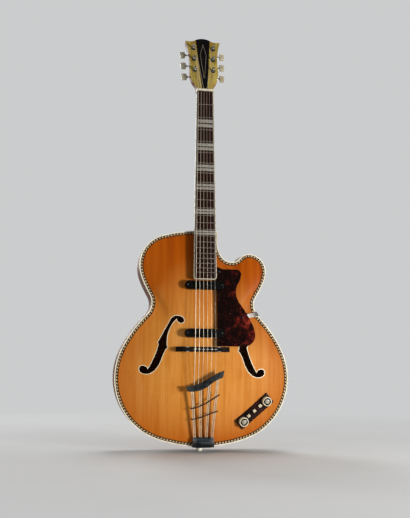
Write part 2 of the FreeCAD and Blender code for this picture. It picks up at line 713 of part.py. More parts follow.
POST_PROFILE = [
    ("0", "-sizes.head_thickness - 8"), ("sizes.post_radius", "-sizes.head_thickness - 8"),
    ("sizes.post_radius", "3.5"),
    ("sizes.post_radius * 0.86", "4"), ("sizes.post_radius * 0.86", "sizes.post_height - 2.5"),
    ("sizes.post_radius * 1.1", "sizes.post_height - 2"), ("sizes.post_radius * 1.1", "sizes.post_height - 0.5"),
    ("sizes.post_radius * 0.9", "sizes.post_height"), ("0", "sizes.post_height")]
BUSHING_PROFILE = [
    ("sizes.post_radius + 0.1", "-10"), ("%g" % BUSHING_RADIUS, "-10"), ("%g" % BUSHING_RADIUS, "0"),
    ("sizes.post_radius + 3", "0"), ("sizes.post_radius + 2.2", "1.4"), ("sizes.post_radius + 0.1", "1.4")]
bushings = []
for post in posts:
    at_post = head.multiply(Placement(Vector(post.x, 0, post.z), TO_FRONT))
    bushings.append(turned("bushing_" + post.name, BUSHING_PROFILE, at_post, keep=False))
    stem = turned("string_post_stem_" + post.name, POST_PROFILE, at_post, keep=False)
    row = head.multiply(tuner_rows[post.side])
    gear = feature("string_post_gear_" + post.name, wheel,
                   row.multiply(Placement(Vector(0, gear_y, post.row_z), Rotation())), keep=False)
    group("string_post_" + post.name, [stem, gear])
    outward = Rotation(Y_AXIS, 90)
    if post.side < 0:
        outward = Rotation(Y_AXIS, -90).multiply(Rotation(Z_AXIS, 180))
    frame = row.multiply(Placement(Vector(0, gear_y, post.row_z - worm_distance), outward))
    shaft_piece = feature("worm_shaft_" + post.name, worm, frame, keep=False)
    button_piece = feature("button_knob_" + post.name, button, frame, keep=False)
    group("tuner_button_" + post.name, [shaft_piece, button_piece])
group("post_bushings", bushings)

LUG_THICKNESS = 1.6
LUG_INNER = 6.2
LUG_OUTER = 5.0
PLATE_HALF_WIDTH = 8.5
PLATE_MARGIN = 9
SHAFT_CLEARANCE = 0.08
WORM_ROOM = 4.8
LUG_REACH = 2
LUG_SPAN = (-3.5, 3)
POST_ROOM = 0.2
THREAD_ROOM = 0.4
plates = []
for side in (-1, 1):
    rows = [post.row_z for post in posts if post.side == side]
    plate = block(-PLATE_HALF_WIDTH, PLATE_HALF_WIDTH, wood_back, wood_back + d.plate_metal,
                  min(rows) - worm_distance - PLATE_MARGIN, max(rows) + PLATE_MARGIN)
    half = LUG_THICKNESS / 2
    lug_back = gear_y + d.worm_shaft + LUG_REACH
    for row_z in rows:
        axis_z = row_z - worm_distance
        for x in (-side * (LUG_INNER + half), side * (LUG_OUTER + half)):
            plate = plate.fuse(block(x - half, x + half, wood_back, lug_back,
                                     axis_z + LUG_SPAN[0], axis_z + LUG_SPAN[1]))
        plate = plate.cut(rod(Vector(-FAR, gear_y, axis_z), Vector(FAR, gear_y, axis_z),
                              d.worm_shaft + SHAFT_CLEARANCE))
        plate = plate.cut(rod(Vector(0, 0, row_z), Vector(0, FAR, row_z), d.post_radius + POST_ROOM))
        plate = plate.cut(rod(Vector(-WORM_ROOM, gear_y, axis_z), Vector(WORM_ROOM, gear_y, axis_z),
                              THREAD_TIP[0] + THREAD_ROOM))
    plates.append(in_frame(plate, tuner_rows[side]))
feature("tuner_plates", Part.makeCompound(plates), head)

# Bridge: fitted base, threaded posts, thumbwheels and saddle, standing square on the arch
arch_peak = d.top_arch * arch_share(ARCH_SECTIONS[-1])
string_rest = neck.multVec(Vector(0, -d.action_height, -d.scale_length - d.compensation))
bridge_z = string_rest.z
base_top = front - arch_peak - d.bridge_base_height
wheel_low = base_top - d.wheel_gap
saddle_low = wheel_low - d.wheel_thickness
SADDLE_FRET = 0.9
saddle_top = string_rest.y + SADDLE_FRET
POST_SET = 6
POST_RISE = 4
POST_HOLE = 7
POST_PLAY = 0.3
BASE_END = (9, 3.5)


def along_z(points, z0, z1):
    """Prism along Z on (x, y) corners."""
    corners = [Vector(x, y, z0) for x, y in points]
    return Part.Face(Part.makePolygon(corners + corners[:1])).extrude(Z_AXIS * (z1 - z0))


half = d.bridge_length / 2
base_corners = [(-half, front), (half, front), (half, base_top + BASE_END[1]), (half - BASE_END[0], base_top),
                (BASE_END[0] - half, base_top), (-half, base_top + BASE_END[1])]
base_corners = [(x + d.bridge_offset, y) for x, y in base_corners]
bridge_base = along_z(base_corners, bridge_z - d.bridge_width / 2, bridge_z + d.bridge_width / 2)
bridge_base = bridge_base.cut(top_dome)
post_places = [d.bridge_offset + sign * d.bridge_post_spacing / 2 for sign in (-1, 1)]
bridge_posts = []
for x in post_places:
    foot = Vector(x, base_top + POST_SET, bridge_z)
    bridge_posts.append(rod(foot, Vector(x, saddle_low - POST_RISE, bridge_z), d.bridge_post_radius))
bridge_posts = Part.makeCompound(bridge_posts)
feature("bridge_base", bridge_base.cut(bridge_posts))
feature("bridge_posts", bridge_posts)

SADDLE_END = 12
half = d.saddle_length / 2
saddle_middle = (saddle_low + saddle_top) / 2
saddle_corners = [(-half, saddle_low), (half, saddle_low), (half, saddle_middle),
                  (half - SADDLE_END, saddle_top), (SADDLE_END - half, saddle_top), (-half, saddle_middle)]
saddle_corners = [(x + d.bridge_offset, y) for x, y in saddle_corners]
saddle = along_z(saddle_corners, bridge_z - d.saddle_width / 2, bridge_z + d.saddle_width / 2)
for x in post_places:
    saddle = saddle.cut(rod(Vector(x, saddle_low + 1, bridge_z), Vector(x, saddle_low - POST_HOLE, bridge_z),
                            d.bridge_post_radius + POST_PLAY))
feature("bridge_saddle", saddle)

string_xs = [(-0.5 + index / 5) for index in range(6)]
low = Vector(0, saddle_top, bridge_z - SADDLE_FRET)
high = Vector(0, saddle_top, bridge_z + SADDLE_FRET)
crest = Vector(0, saddle_top - SADDLE_FRET, bridge_z)
half_fret = Part.Face(Part.Wire([Part.Arc(low, crest, high).toShape(), Part.makeLine(high, low)]))
saddle_frets = []
for share in string_xs:
    piece = half_fret.extrude(X_AXIS * d.saddle_fret_length)
    piece.translate(X_AXIS * (share * d.string_spread_bridge - d.saddle_fret_length / 2))
    saddle_frets.append(piece)
feature("saddle_frets", Part.makeCompound(saddle_frets))
WHEEL_PROFILE = [
    ("sizes.bridge_post_radius + 0.05", "0"), ("sizes.wheel_radius", "0"),
    ("sizes.wheel_radius", "sizes.wheel_thickness"),
    ("sizes.bridge_post_radius + 0.05", "sizes.wheel_thickness")]
for label, x in zip(("bass_thumbwheel", "treble_thumbwheel"), post_places):
    turned(label, WHEEL_PROFILE, Placement(Vector(x, wheel_low, bridge_z), TO_FRONT))

# Pickups: hollow covers fitted to the arch, with a coil round a bar magnet inside each


def stadium(length, width, s):
    half = (length - width) / 2
    stations = [(-half, -s - width / 2, 0), (half, -s - width / 2, 0), (half, -s + width / 2, 180),
                (-half, -s + width / 2, 180)]
    return wire_of(segments(stations))


COIL_GAP = 0.5
COIL_DROP = 3
COVER_ROUND = 1.2
PICKUP_DEPTH = 40
coils = []
pickup_clear = []
for label, s in (("neck_pickup_cover", d.neck_pickup_s), ("bridge_pickup_cover", d.bridge_pickup_s)):
    wall = d.pickup_wall
    shell = prism(stadium(d.pickup_length, d.pickup_width, s), d.pickup_drop, d.pickup_drop + PICKUP_DEPTH)
    edges = [edge for edge in shell.Edges if edge.BoundBox.YMax < d.pickup_drop + 0.1]
    shell = shell.makeFillet(COVER_ROUND, edges)
    inside = prism(stadium(d.pickup_length - 2 * wall, d.pickup_width - 2 * wall, s), d.pickup_drop + wall,
                   d.pickup_drop + PICKUP_DEPTH + 1)
    feature(label, seated(in_frame(shell.cut(inside), neck)))
    inset = 2 * (wall + COIL_GAP)
    coil = prism(stadium(d.pickup_length - inset, d.pickup_width - inset, s), d.pickup_drop + COIL_DROP,
                 d.pickup_drop + PICKUP_DEPTH)
    coils.append(seated(in_frame(coil, neck)))
    pickup_clear.append(prism(stadium(d.pickup_length + 2, d.pickup_width + 2, s), 0, PICKUP_DEPTH))
feature("pickup_coils", Part.makeCompound(coils))

# Pickguard beside the board and the strings, with notches round the pickup ends, on a bracket at the waist
GUARD_TOP_S = 452
GUARD_LOW_S = 639
GUARD_EDGE = 30.5
GUARD_RISE = 7.5
guard_stations = [
    (GUARD_EDGE, -GUARD_LOW_S, None), (96, -GUARD_LOW_S, 0), (123.5, -613, 90), (104, -562, 121),
    (77, -507, 90), (90, -464, 84), (78, -GUARD_TOP_S, 180), (50, -GUARD_TOP_S, 180),
    (GUARD_EDGE, -GUARD_TOP_S + GUARD_RISE, None)]
guard = prism(wire_of(segments(guard_stations)), d.guard_drop, d.guard_drop + d.guard_thickness)
feature("pickguard", guard.cut(Part.makeCompound(pickup_clear)), neck)

BRACKET_METAL = 2
BRACKET_WIDTH = 11
BRACKET_REACH = 80
BRACKET_LEG = 18
BRACKET_FLAT = 18
BRACKET_CLEARANCE = 0.6
BRACKET_START = Vector(88, 0, -570.5)
BRACKET_HEADING = 16.5
half = BRACKET_WIDTH / 2
guard_back = d.guard_drop + d.guard_thickness
bracket_frame = neck.multiply(Placement(BRACKET_START, Rotation(Y_AXIS, -BRACKET_HEADING)))
rim_point = Vector(waist, front - BRACKET_METAL - BRACKET_CLEARANCE, base_z + d.waist_z)
rim = bracket_frame.inverse().multVec(rim_point)
bend_side = [(0, guard_back), (BRACKET_FLAT, guard_back), (rim.x - d.ledge_width, rim.y), (BRACKET_REACH, rim.y)]
far_side = [(x, y + BRACKET_METAL) for x, y in reversed(bend_side)]
corners = [Vector(x, y, -half) for x, y in bend_side + far_side]
bent = Part.Face(Part.makePolygon(corners + corners[:1])).extrude(Vector(0, 0, BRACKET_WIDTH))
strip = in_frame(bent, bracket_frame).common(slab(-BRACKET_METAL, -FAR, FAR))
leg_zone = in_frame(block(0, BRACKET_REACH, rim.y, FAR, -half, half), bracket_frame)
leg = ring(-BRACKET_METAL, 0, front - FAR, front + BRACKET_LEG).common(leg_zone)
feature("pickguard_bracket", strip.fuse(leg))

# Tailpiece frame: origin at the anchor's upper end, local Z up along the rods
tail = Placement(Vector(0, front - d.tail_root_rise, base_z + d.tail_root_z), Rotation(X_AXIS, d.tail_angle))
CROSSBAR = [
    (-40, 113, None), (-25, 112.2, 6), (3, 121.4, 32), (28, 139.6, 30), (43, 146, None), (46, 162.5, None),
    (27.5, 154.6, 208), (6, 141.5, 211), (-13.5, 130.3, 203), (-33, 125, 186), (-44, 125, None)]
crossbar_wire = wire_of(segments(CROSSBAR))
crossbar_face = Part.Face(crossbar_wire)
crossbar = prism(crossbar_wire, -d.crossbar_thickness / 2, d.crossbar_thickness / 2)


def crossbar_span(x):
    """Lower and upper edge of the crossbar at a place along it."""
    box = Part.makeLine(Vector(x, 0, -FAR), Vector(x, 0, FAR)).common(crossbar_face).BoundBox
    return box.ZMin, box.ZMax


ROD_LOW_X = (-18.5, -5, 9, 22.5)
ROD_HIGH_X = (-29, -9.5, 11.5, 31.5)
ROD_SET = 4
ROD_LOW_Z = -6
rods = []
for low_x, high_x in zip(ROD_LOW_X, ROD_HIGH_X):
    high_z = crossbar_span(high_x)[0] + ROD_SET
    for shift in (-d.rod_gap / 2, d.rod_gap / 2):
        rods.append(rod(Vector(low_x + shift, 0, ROD_LOW_Z), Vector(high_x + shift, 0, high_z), d.rod_radius))
rods = Part.makeCompound(rods)


def ribbon(stations, width):
    line = segments(stations, closed=False)
    left = [edge_between(*item[:3]) for item in moved_inward(line, width / 2, closed=False)]
    right = [edge_between(*item[:3]) for item in moved_inward(line, -width / 2, closed=False)]
    start_cap = Part.makeLine(left[0].valueAt(left[0].FirstParameter), right[0].valueAt(right[0].FirstParameter))
    end_cap = Part.makeLine(left[-1].valueAt(left[-1].LastParameter), right[-1].valueAt(right[-1].LastParameter))
    return Part.Wire(Part.__sortEdges__(left + right + [start_cap, end_cap]))


STRIP_WIDTH = 3
STRIP_METAL = 1.5
STRIP_SET = 0.3
STRIPS = ([(-33, 71, 5), (5, 84.5, 30), (37, 105, 30)], [(-29, 45, 5), (4, 54, 24), (34, 65, 15)])
strip_y = STRIP_SET - d.rod_radius
strips = [prism(ribbon(line, STRIP_WIDTH), strip_y - STRIP_METAL, strip_y) for line in STRIPS]
strips = Part.makeCompound(strips)

ANCHOR_RISE = 12
ANCHOR_TOP = 22.5
ANCHOR_ROUND = 5
ANCHOR_SHIFT = 2
ANCHOR_TONGUE = 15
ANCHOR_FOOT = 20
anchor_left = ANCHOR_SHIFT - d.anchor_width / 2
anchor_right = ANCHOR_SHIFT + d.anchor_width / 2
anchor_high = base_z + ANCHOR_TOP
anchor_low = base_z - ANCHOR_FOOT
anchor_stations = [
    (anchor_left, anchor_low, None), (anchor_right, anchor_low, None),
    (anchor_right, anchor_high - ANCHOR_ROUND, 90), (anchor_right - ANCHOR_ROUND, anchor_high, 180),
    (anchor_left + ANCHOR_ROUND, anchor_high, 180), (anchor_left, anchor_high - ANCHOR_ROUND, 270)]
anchor = prism(wire_of(segments(anchor_stations)), front - ANCHOR_RISE, front)
anchor = anchor.common(slab(-d.anchor_metal, -FAR, FAR)).cut(top_dome)
tongue_zone = block(anchor_left, anchor_right, -FAR, FAR, -FAR, anchor_high)
tongue = ring(-d.anchor_metal, 0, front - 1, ANCHOR_TONGUE).common(tongue_zone)
anchor = anchor.fuse(tongue).cut(pin_shank)
world_rods = in_frame(rods, tail)
feature("tailpiece_anchor", anchor.cut(world_rods))
feature("tailpiece_rods", rods.cut(crossbar), tail)
feature("tailpiece_strips", strips.cut(rods), tail)
turned("end_pin", [
    ("0", "%g" % PIN_SHANK_LENGTH), ("sizes.pin_shank_radius", "%g" % PIN_SHANK_LENGTH),
    ("sizes.pin_shank_radius", "sizes.pin_collar"),
    ("sizes.pin_collar_radius", "sizes.pin_collar"), ("sizes.pin_collar_radius", "0"), ("sizes.pin_radius", "0"),
    ("sizes.pin_radius", "-sizes.pin_length"), ("sizes.pin_radius * 0.7", "-sizes.pin_length - 1.6"),
    ("0", "-sizes.pin_length - 2.2")], Placement())

# Strings, each one tube from the crossbar over the saddle and the nut to its post, where it winds
BEND = 2.5
WINDINGS = 3
WINDING_GAP = 0.5
POST_AIR = 0.35
SADDLE_AIR = 0.1
HOLE_PLAY = 0.4
SLOT_AIR = 0.05
HELD_DEPTH = 6
APPROACH = 12
WINDING_START = -10.2


def bend(before, corner, after):
    """Arc that rounds a corner of a string, as start, tangent and end."""
    first = (corner - before).normalize()
    second = (after - corner).normalize()
    return corner - first * BEND, first, corner + second * BEND


def tube(edges, radius):
    path = Part.Wire(edges)
    start = edges[0].valueAt(edges[0].FirstParameter)
    direction = edges[0].tangentAt(edges[0].FirstParameter)
    ring_wire = Part.Wire(Part.Circle(start, direction, radius).toShape())
    return path.makePipeShell([ring_wire], True, False)


def winding_edges(post, radius, arrival):
    """String from its bend at the nut to its post: the way there, the turns round it and their first point.
    The turns are arcs that follow a helix, and the end runs straight for one diameter."""
    reach = d.post_radius * 0.86 + POST_AIR + radius
    lift = 2 * radius + WINDING_GAP

    def station(quarter):
        angle = quarter * math.pi / 2
        place = Vector(post.x - post.side * reach * math.cos(angle), WINDING_START + lift * quarter / 4,
                       post.z + reach * math.sin(angle))
        along = Vector(post.side * reach * math.sin(angle), lift / (2 * math.pi), reach * math.cos(angle))
        return head.multVec(place), head.Rotation.multVec(along).normalize()

    first, first_tangent = station(0)
    toward = (first - arrival).normalize()
    approach = first - toward * APPROACH
    way = [Part.makeLine(arrival, approach)]
    way += [edge_between(*item[:3]) for item in two_arcs(approach, toward, first, first_tangent, 1.0)]
    turns = []
    for quarter in range(4 * WINDINGS):
        place, tangent = station(quarter)
        end, end_tangent = station(quarter + 1)
        turns += [edge_between(*item[:3]) for item in two_arcs(place, tangent, end, end_tangent, 1.0)]
    turns.append(Part.makeLine(end, end + end_tangent * (2 * radius)))
    return way, turns, first


def air_between_turns(turns, radius):
    """Least gap between a turn and the next ones, measured along the string's middle line."""
    places = [place for edge in turns[:-1] for place in edge.discretize(Number=6)[:-1]]
    turn = len(places) // WINDINGS
    gaps = []
    for index, place in enumerate(places):
        gaps += [(other - place).Length for other in places[index + turn * 3 // 4:]]
    return min(gaps) - 2 * radius


strings = []
winding_air = []
string_slots = []
crossbar_holes = []
for post, share, diameter in zip(posts, string_xs, STRING_DIAMETERS):
    radius = diameter / 2
    bridge_x = share * d.string_spread_bridge
    nut_x = share * d.string_spread_nut
    over_nut = neck.multVec(Vector(nut_x, -d.nut_string_height - radius, d.nut_thickness / 2))
    over_saddle = Vector(bridge_x, string_rest.y - radius - SADDLE_AIR, bridge_z)
    held = tail.multVec(Vector(bridge_x, 0, crossbar_span(bridge_x)[1] - HELD_DEPTH))
    first = winding_edges(post, radius, over_nut)[2]
    saddle_bend = bend(held, over_saddle, over_nut)
    nut_bend = bend(over_saddle, over_nut, first)
    way, turns, first = winding_edges(post, radius, nut_bend[2])
    edges = [Part.makeLine(held, saddle_bend[0]), edge_between(*saddle_bend),
             Part.makeLine(saddle_bend[2], nut_bend[0]), edge_between(*nut_bend)]
    strings.append(tube(edges + way + turns, radius))
    winding_air.append(air_between_turns(turns, radius))
    string_slots.append(rod(over_nut, over_nut + (over_saddle - over_nut) * 0.05, radius + SLOT_AIR))
    string_slots.append(rod(over_nut, over_nut + (first - over_nut) * 0.3, radius + SLOT_AIR))
    string_slots.append(Part.makeSphere(radius + SLOT_AIR, over_nut))
    crossbar_holes.append(rod(held, held + (over_saddle - held) * 0.3, radius + HOLE_PLAY))
print("least gap between turns of a string", round(min(winding_air), 3))
feature("strings", Part.makeCompound(strings))
feature("tailpiece_crossbar", in_frame(crossbar, tail).cut(Part.makeCompound(crossbar_holes)))
NUT_WALL = 0.6
nut = block(-d.nut_width / 2, d.nut_width / 2, -d.nut_string_height - NUT_WALL, d.board_thickness,
            0, d.nut_thickness)
nut = in_frame(nut, neck)
for slot in string_slots:
    nut = nut.cut(slot)
feature("nut", nut)

# Control console on the lower treble bout: plate, potentiometers with knobs, slide switches
SLIDER_HALF = 3.6
SLOT_PLAY = 0.3
SLIDER_STEM = 2.2
SLIDER_CAP = (-5, -0.6)
SLIDER_DEPTH = 5
PLATE_DEPTH = 12
KNOB_HOLE = d.knob_stem + 0.4
half_travel = d.switch_travel / 2
half = d.console_length / 2
plate = block(-half, half, 0, PLATE_DEPTH, -d.console_width / 2, d.console_width / 2)
plate = seated(in_frame(plate, console)).cut(console_window(d.console_rise))
slot_half = half_travel + SLIDER_STEM + SLOT_PLAY
switch_places = [-d.switch_spacing, 0, d.switch_spacing]
knob_places = [-d.knob_spacing / 2, d.knob_spacing / 2]
slider_slot_half = SLIDER_HALF + SLOT_PLAY
for x in switch_places:
    plate = plate.cut(in_frame(block(x - slider_slot_half, x + slider_slot_half, -1, FAR,
                                     -slot_half, slot_half), console))
for x in knob_places:
    plate = plate.cut(in_frame(rod(Vector(x, -1, 0), Vector(x, FAR, 0), KNOB_HOLE), console))
feature("console_plate", plate)

POT_PROFILE = [
    ("0", "-sizes.console_rise - 10"), ("sizes.knob_radius - 3", "-sizes.console_rise - 10"),
    ("sizes.knob_radius - 3", "-sizes.console_rise"), ("sizes.knob_stem + 0.1", "-sizes.console_rise"),
    ("sizes.knob_stem + 0.1", "-sizes.console_rise - 6.5"), ("0", "-sizes.console_rise - 6.5")]
KNOB_PROFILE = [
    ("0", "-sizes.console_rise - 6"), ("sizes.knob_stem", "-sizes.console_rise - 6"),
    ("sizes.knob_stem", "0.8"), ("sizes.knob_radius", "0.8"), ("sizes.knob_radius", "sizes.knob_height - 1.2"),
    ("sizes.knob_radius - 1.2", "sizes.knob_height"), ("sizes.knob_radius - 4.6", "sizes.knob_height"),
    ("sizes.knob_radius - 5.2", "sizes.knob_height - 1"), ("0", "sizes.knob_height - 1")]
pots = []
for label, x in zip(("tone_knob", "volume_knob"), knob_places):
    place = console.multiply(Placement(Vector(x, 0, 0), TO_FRONT))
    pots.append(turned(label + "_potentiometer", POT_PROFILE, place, keep=False))
    turned(label, KNOB_PROFILE, place)
group("potentiometers", pots)

SWITCH_HALF = 7
SWITCH_HALF_WIDTH = 9
SWITCH_DEPTH = 9
switch_floor = d.console_rise + SLIDER_DEPTH + 2 * SLOT_PLAY
switch_bodies = []
for number, x in enumerate(switch_places, start=1):
    body = block(x - SWITCH_HALF, x + SWITCH_HALF, d.console_rise, d.console_rise + SWITCH_DEPTH,
                 -SWITCH_HALF_WIDTH, SWITCH_HALF_WIDTH)
    body = body.cut(block(x - slider_slot_half, x + slider_slot_half, 0, switch_floor, -slot_half, slot_half))
    switch_bodies.append(body)
    slider = block(-SLIDER_HALF, SLIDER_HALF, SLIDER_CAP[0], SLIDER_CAP[1],
                   half_travel - SLIDER_HALF, half_travel + SLIDER_HALF)
    slider = slider.fuse(block(-SLIDER_HALF, SLIDER_HALF, SLIDER_CAP[1], d.console_rise + SLIDER_DEPTH,
                               half_travel - SLIDER_STEM, half_travel + SLIDER_STEM))
    feature("switch_slider_%d" % number, slider, console.multiply(Placement(Vector(x, 0, 0), Rotation())))
feature("slide_switches", Part.makeCompound(switch_bodies), console)

# Check every piece and write it out
doc.recompute()
os.makedirs("parts", exist_ok=True)
for node in nodes:
    shape = node.Shape
    if "Invalid" in node.State or "Error" in node.State:
        raise RuntimeError(node.Label + " did not recompute")
    if shape.isNull() or not shape.isValid() or not shape.Solids:
        raise RuntimeError(node.Label + " is not a valid solid")
    shape.exportStep("parts/%s.step" % node.Label)
print(len(nodes), "pieces")
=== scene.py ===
import json
import math

import bmesh
import bpy
from mathutils import Matrix, Vector

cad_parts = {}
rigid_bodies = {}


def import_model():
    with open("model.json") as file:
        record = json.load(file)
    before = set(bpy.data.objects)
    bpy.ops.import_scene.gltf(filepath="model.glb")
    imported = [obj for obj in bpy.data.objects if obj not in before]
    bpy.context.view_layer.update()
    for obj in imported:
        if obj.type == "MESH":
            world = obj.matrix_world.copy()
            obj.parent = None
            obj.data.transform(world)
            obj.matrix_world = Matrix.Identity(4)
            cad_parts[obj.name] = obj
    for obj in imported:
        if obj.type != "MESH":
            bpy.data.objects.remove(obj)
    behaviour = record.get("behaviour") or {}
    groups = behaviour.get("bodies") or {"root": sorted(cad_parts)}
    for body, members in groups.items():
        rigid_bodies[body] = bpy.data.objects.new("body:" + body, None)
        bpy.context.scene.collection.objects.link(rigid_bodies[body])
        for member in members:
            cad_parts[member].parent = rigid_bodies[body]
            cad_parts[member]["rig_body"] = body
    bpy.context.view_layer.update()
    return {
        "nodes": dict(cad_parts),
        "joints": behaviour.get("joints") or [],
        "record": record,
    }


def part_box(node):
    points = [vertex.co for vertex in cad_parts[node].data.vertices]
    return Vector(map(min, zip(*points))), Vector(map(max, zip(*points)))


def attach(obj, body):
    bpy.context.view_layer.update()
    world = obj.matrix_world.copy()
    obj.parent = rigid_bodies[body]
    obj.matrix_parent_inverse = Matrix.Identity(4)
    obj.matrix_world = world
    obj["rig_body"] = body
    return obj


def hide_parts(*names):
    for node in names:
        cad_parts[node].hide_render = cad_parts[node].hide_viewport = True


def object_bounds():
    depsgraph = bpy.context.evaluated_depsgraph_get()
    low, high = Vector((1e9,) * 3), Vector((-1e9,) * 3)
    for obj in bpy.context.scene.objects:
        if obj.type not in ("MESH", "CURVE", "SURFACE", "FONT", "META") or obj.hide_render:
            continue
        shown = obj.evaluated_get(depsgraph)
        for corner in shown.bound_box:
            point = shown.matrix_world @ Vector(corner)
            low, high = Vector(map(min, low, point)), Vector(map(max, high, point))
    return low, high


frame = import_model()
nodes = frame["nodes"]
joints = {joint["name"]: joint for joint in frame["joints"]}
scene = bpy.context.scene
MM = 0.001
STRING_COUNT = 6
STRING_NUMBERS = range(1, STRING_COUNT + 1)


# Frames of the part, in metres: neck, headstock and control console

def frame_at(origin_mm, x_turn):
    """Frame at a place in millimetres, turned about X by so many degrees."""
    return Matrix.Translation(Vector(origin_mm) * MM) @ Matrix.Rotation(math.radians(x_turn), 4, "X")


def frame_from(origin, x_axis, y_axis, z_axis):
    turn = Matrix((x_axis, y_axis, z_axis)).transposed().to_4x4()
    return Matrix.Translation(origin) @ turn


def axis_frame(origin, axis, side):
    """Frame with Z along the axis and X as near to side as it can be."""
    z_axis = Vector(axis).normalized()
    y_axis = z_axis.cross(Vector(side)).normalized()
    return frame_from(origin, y_axis.cross(z_axis), y_axis, z_axis)


NECK = frame_at((0, -38.2654, 880.857), -3.5)
HEAD = frame_at((0, -31.9714, 885.482), -17.5)
neck_front = NECK.to_3x3() @ Vector((0, -1, 0))
head_back = HEAD.to_3x3() @ Vector((0, 1, 0))
head_up = HEAD.to_3x3() @ Vector((0, 0, 1))
tone_knob_place = Vector(joints["tone_knob_turn"]["pos_m"])
volume_knob_place = Vector(joints["volume_knob_turn"]["pos_m"])
console_out = Vector(joints["tone_knob_turn"]["axis"])
console_x = (volume_knob_place - tone_knob_place).normalized()
console_z = Vector(joints["switch_slide_1"]["axis"])
CONSOLE = frame_from((tone_knob_place + volume_knob_place) / 2, console_x, -console_out, console_z)


# Materials: every pattern reads object coordinates, which are the part's own frame in metres

class Look:
    """One procedural material round a Principled shader."""

    # Sockets of a Mix node that carry its factor, its two colours and its result
    MIX_INPUTS = (0, 6, 7)
    MIX_OUTPUT = 2

    def __init__(self, name, **sockets):
        self.material = bpy.data.materials.new(name)
        self.material.use_nodes = True
        self.tree = self.material.node_tree
        self.shader = self.tree.nodes["Principled BSDF"]
        self.position = self.tree.nodes.new("ShaderNodeTexCoord").outputs["Object"]
        for socket, value in sockets.items():
            self.shader.inputs[socket.replace("_", " ")].default_value = value

    def add(self, kind, output, settings=None, **sockets):
        """Output of a new shader node; a space in a socket's name is written as an underscore."""
        node = self.tree.nodes.new("ShaderNode" + kind)
        for key, value in (settings or {}).items():
            setattr(node, key, value)
        for key, value in sockets.items():
            self.feed(node.inputs[key.replace("_", " ")], value)
        return node.outputs[output]

    def feed(self, socket, value):
        """Link another socket to this one, or set a constant on it."""
        if isinstance(value, bpy.types.NodeSocket):
            self.tree.links.new(value, socket)
        else:
            socket.default_value = value

    def noise(self, per_metre, detail=3.0, distortion=0.0, turn=(0, 0, 0), source=None):
        """Noise with so many pattern units per metre along X, Y and Z."""
        place = self.add("Mapping", "Vector", Vector=source or self.position, Scale=per_metre,
                         Rotation=turn)
        return self.add("TexNoise", "Fac", Vector=place, Scale=1.0, Detail=detail, Distortion=distortion)

    def ramp(self, factor, *stops):
        """Colours at shares of the factor, as (share, (r, g, b))."""
        node = self.tree.nodes.new("ShaderNodeValToRGB")
        band = node.color_ramp
        while len(band.elements) < len(stops):
            band.elements.new(0.5)
        for element, (share, colour) in zip(band.elements, stops):
            element.position = share
            element.color = (*colour, 1)
        self.tree.links.new(factor, node.inputs["Fac"])
        return node.outputs["Color"]

    def spread(self, factor, low, high, start=0.3, end=0.7):
        """Value that goes from low to high as the factor goes from start to end."""
        return self.add("MapRange", "Result", Value=factor, **{
            "From_Min": start, "From_Max": end, "To_Min": low, "To_Max": high})

    def calc(self, operation, first, second=0.0):
        """Result of a Math node on one or two values."""
        node = self.tree.nodes.new("ShaderNodeMath")
        node.operation = operation
        self.feed(node.inputs[0], first)
        self.feed(node.inputs[1], second)
        return node.outputs[0]

    def weighted(self, first, first_share, second, second_share):
        """Sum of two values, each times its share."""
        first_part = self.calc("MULTIPLY", first, first_share)
        return self.calc("ADD", first_part, self.calc("MULTIPLY", second, second_share))

    def mix(self, factor, first, second):
        """Colour between two, each of them a colour or a socket."""
        node = self.tree.nodes.new("ShaderNodeMix")
        node.data_type = "RGBA"
        for index, value in zip(self.MIX_INPUTS, (factor, first, second)):
            if isinstance(value, tuple):
                value = (*value, 1)
            self.feed(node.inputs[index], value)
        return node.outputs[self.MIX_OUTPUT]

    def tint(self, base, colour, mask, amount, start=0.3, end=0.7):
        """Base with up to that amount of a colour, more of it as the mask goes from start to end."""
        return self.mix(self.spread(mask, 0.0, amount, start, end), base, colour)

    def axis(self, name):
        """One coordinate of the position, in metres."""
        return self.add("SeparateXYZ", name, Vector=self.position)

    def mirrored(self):
        """Coordinates with the same pattern on both sides of the centre line."""
        side = self.calc("ABSOLUTE", self.axis("X"))
        return self.add("CombineXYZ", "Vector", X=side, Y=self.axis("Y"), Z=self.axis("Z"))

    def finish(self, colour, roughness=None, relief=None, depth=0.0, strength=0.0):
        """The material, with its colour and, where they are given, its roughness and a relief in metres."""
        self.feed(self.shader.inputs["Base Color"], colour)
        if roughness is not None:
            self.feed(self.shader.inputs["Roughness"], roughness)
        if relief is not None:
            bump = self.add("Bump", "Normal", Height=relief, Distance=depth, Strength=strength)
            self.tree.links.new(bump, self.shader.inputs["Normal"])
        return self.material


def midway(first, second):
    """Colour half way between two."""
    return tuple((a + b) / 2 for a, b in zip(first, second))


def shade(values, share):
    """A colour, or another row of values, times a share."""
    return tuple(value * share for value in values)


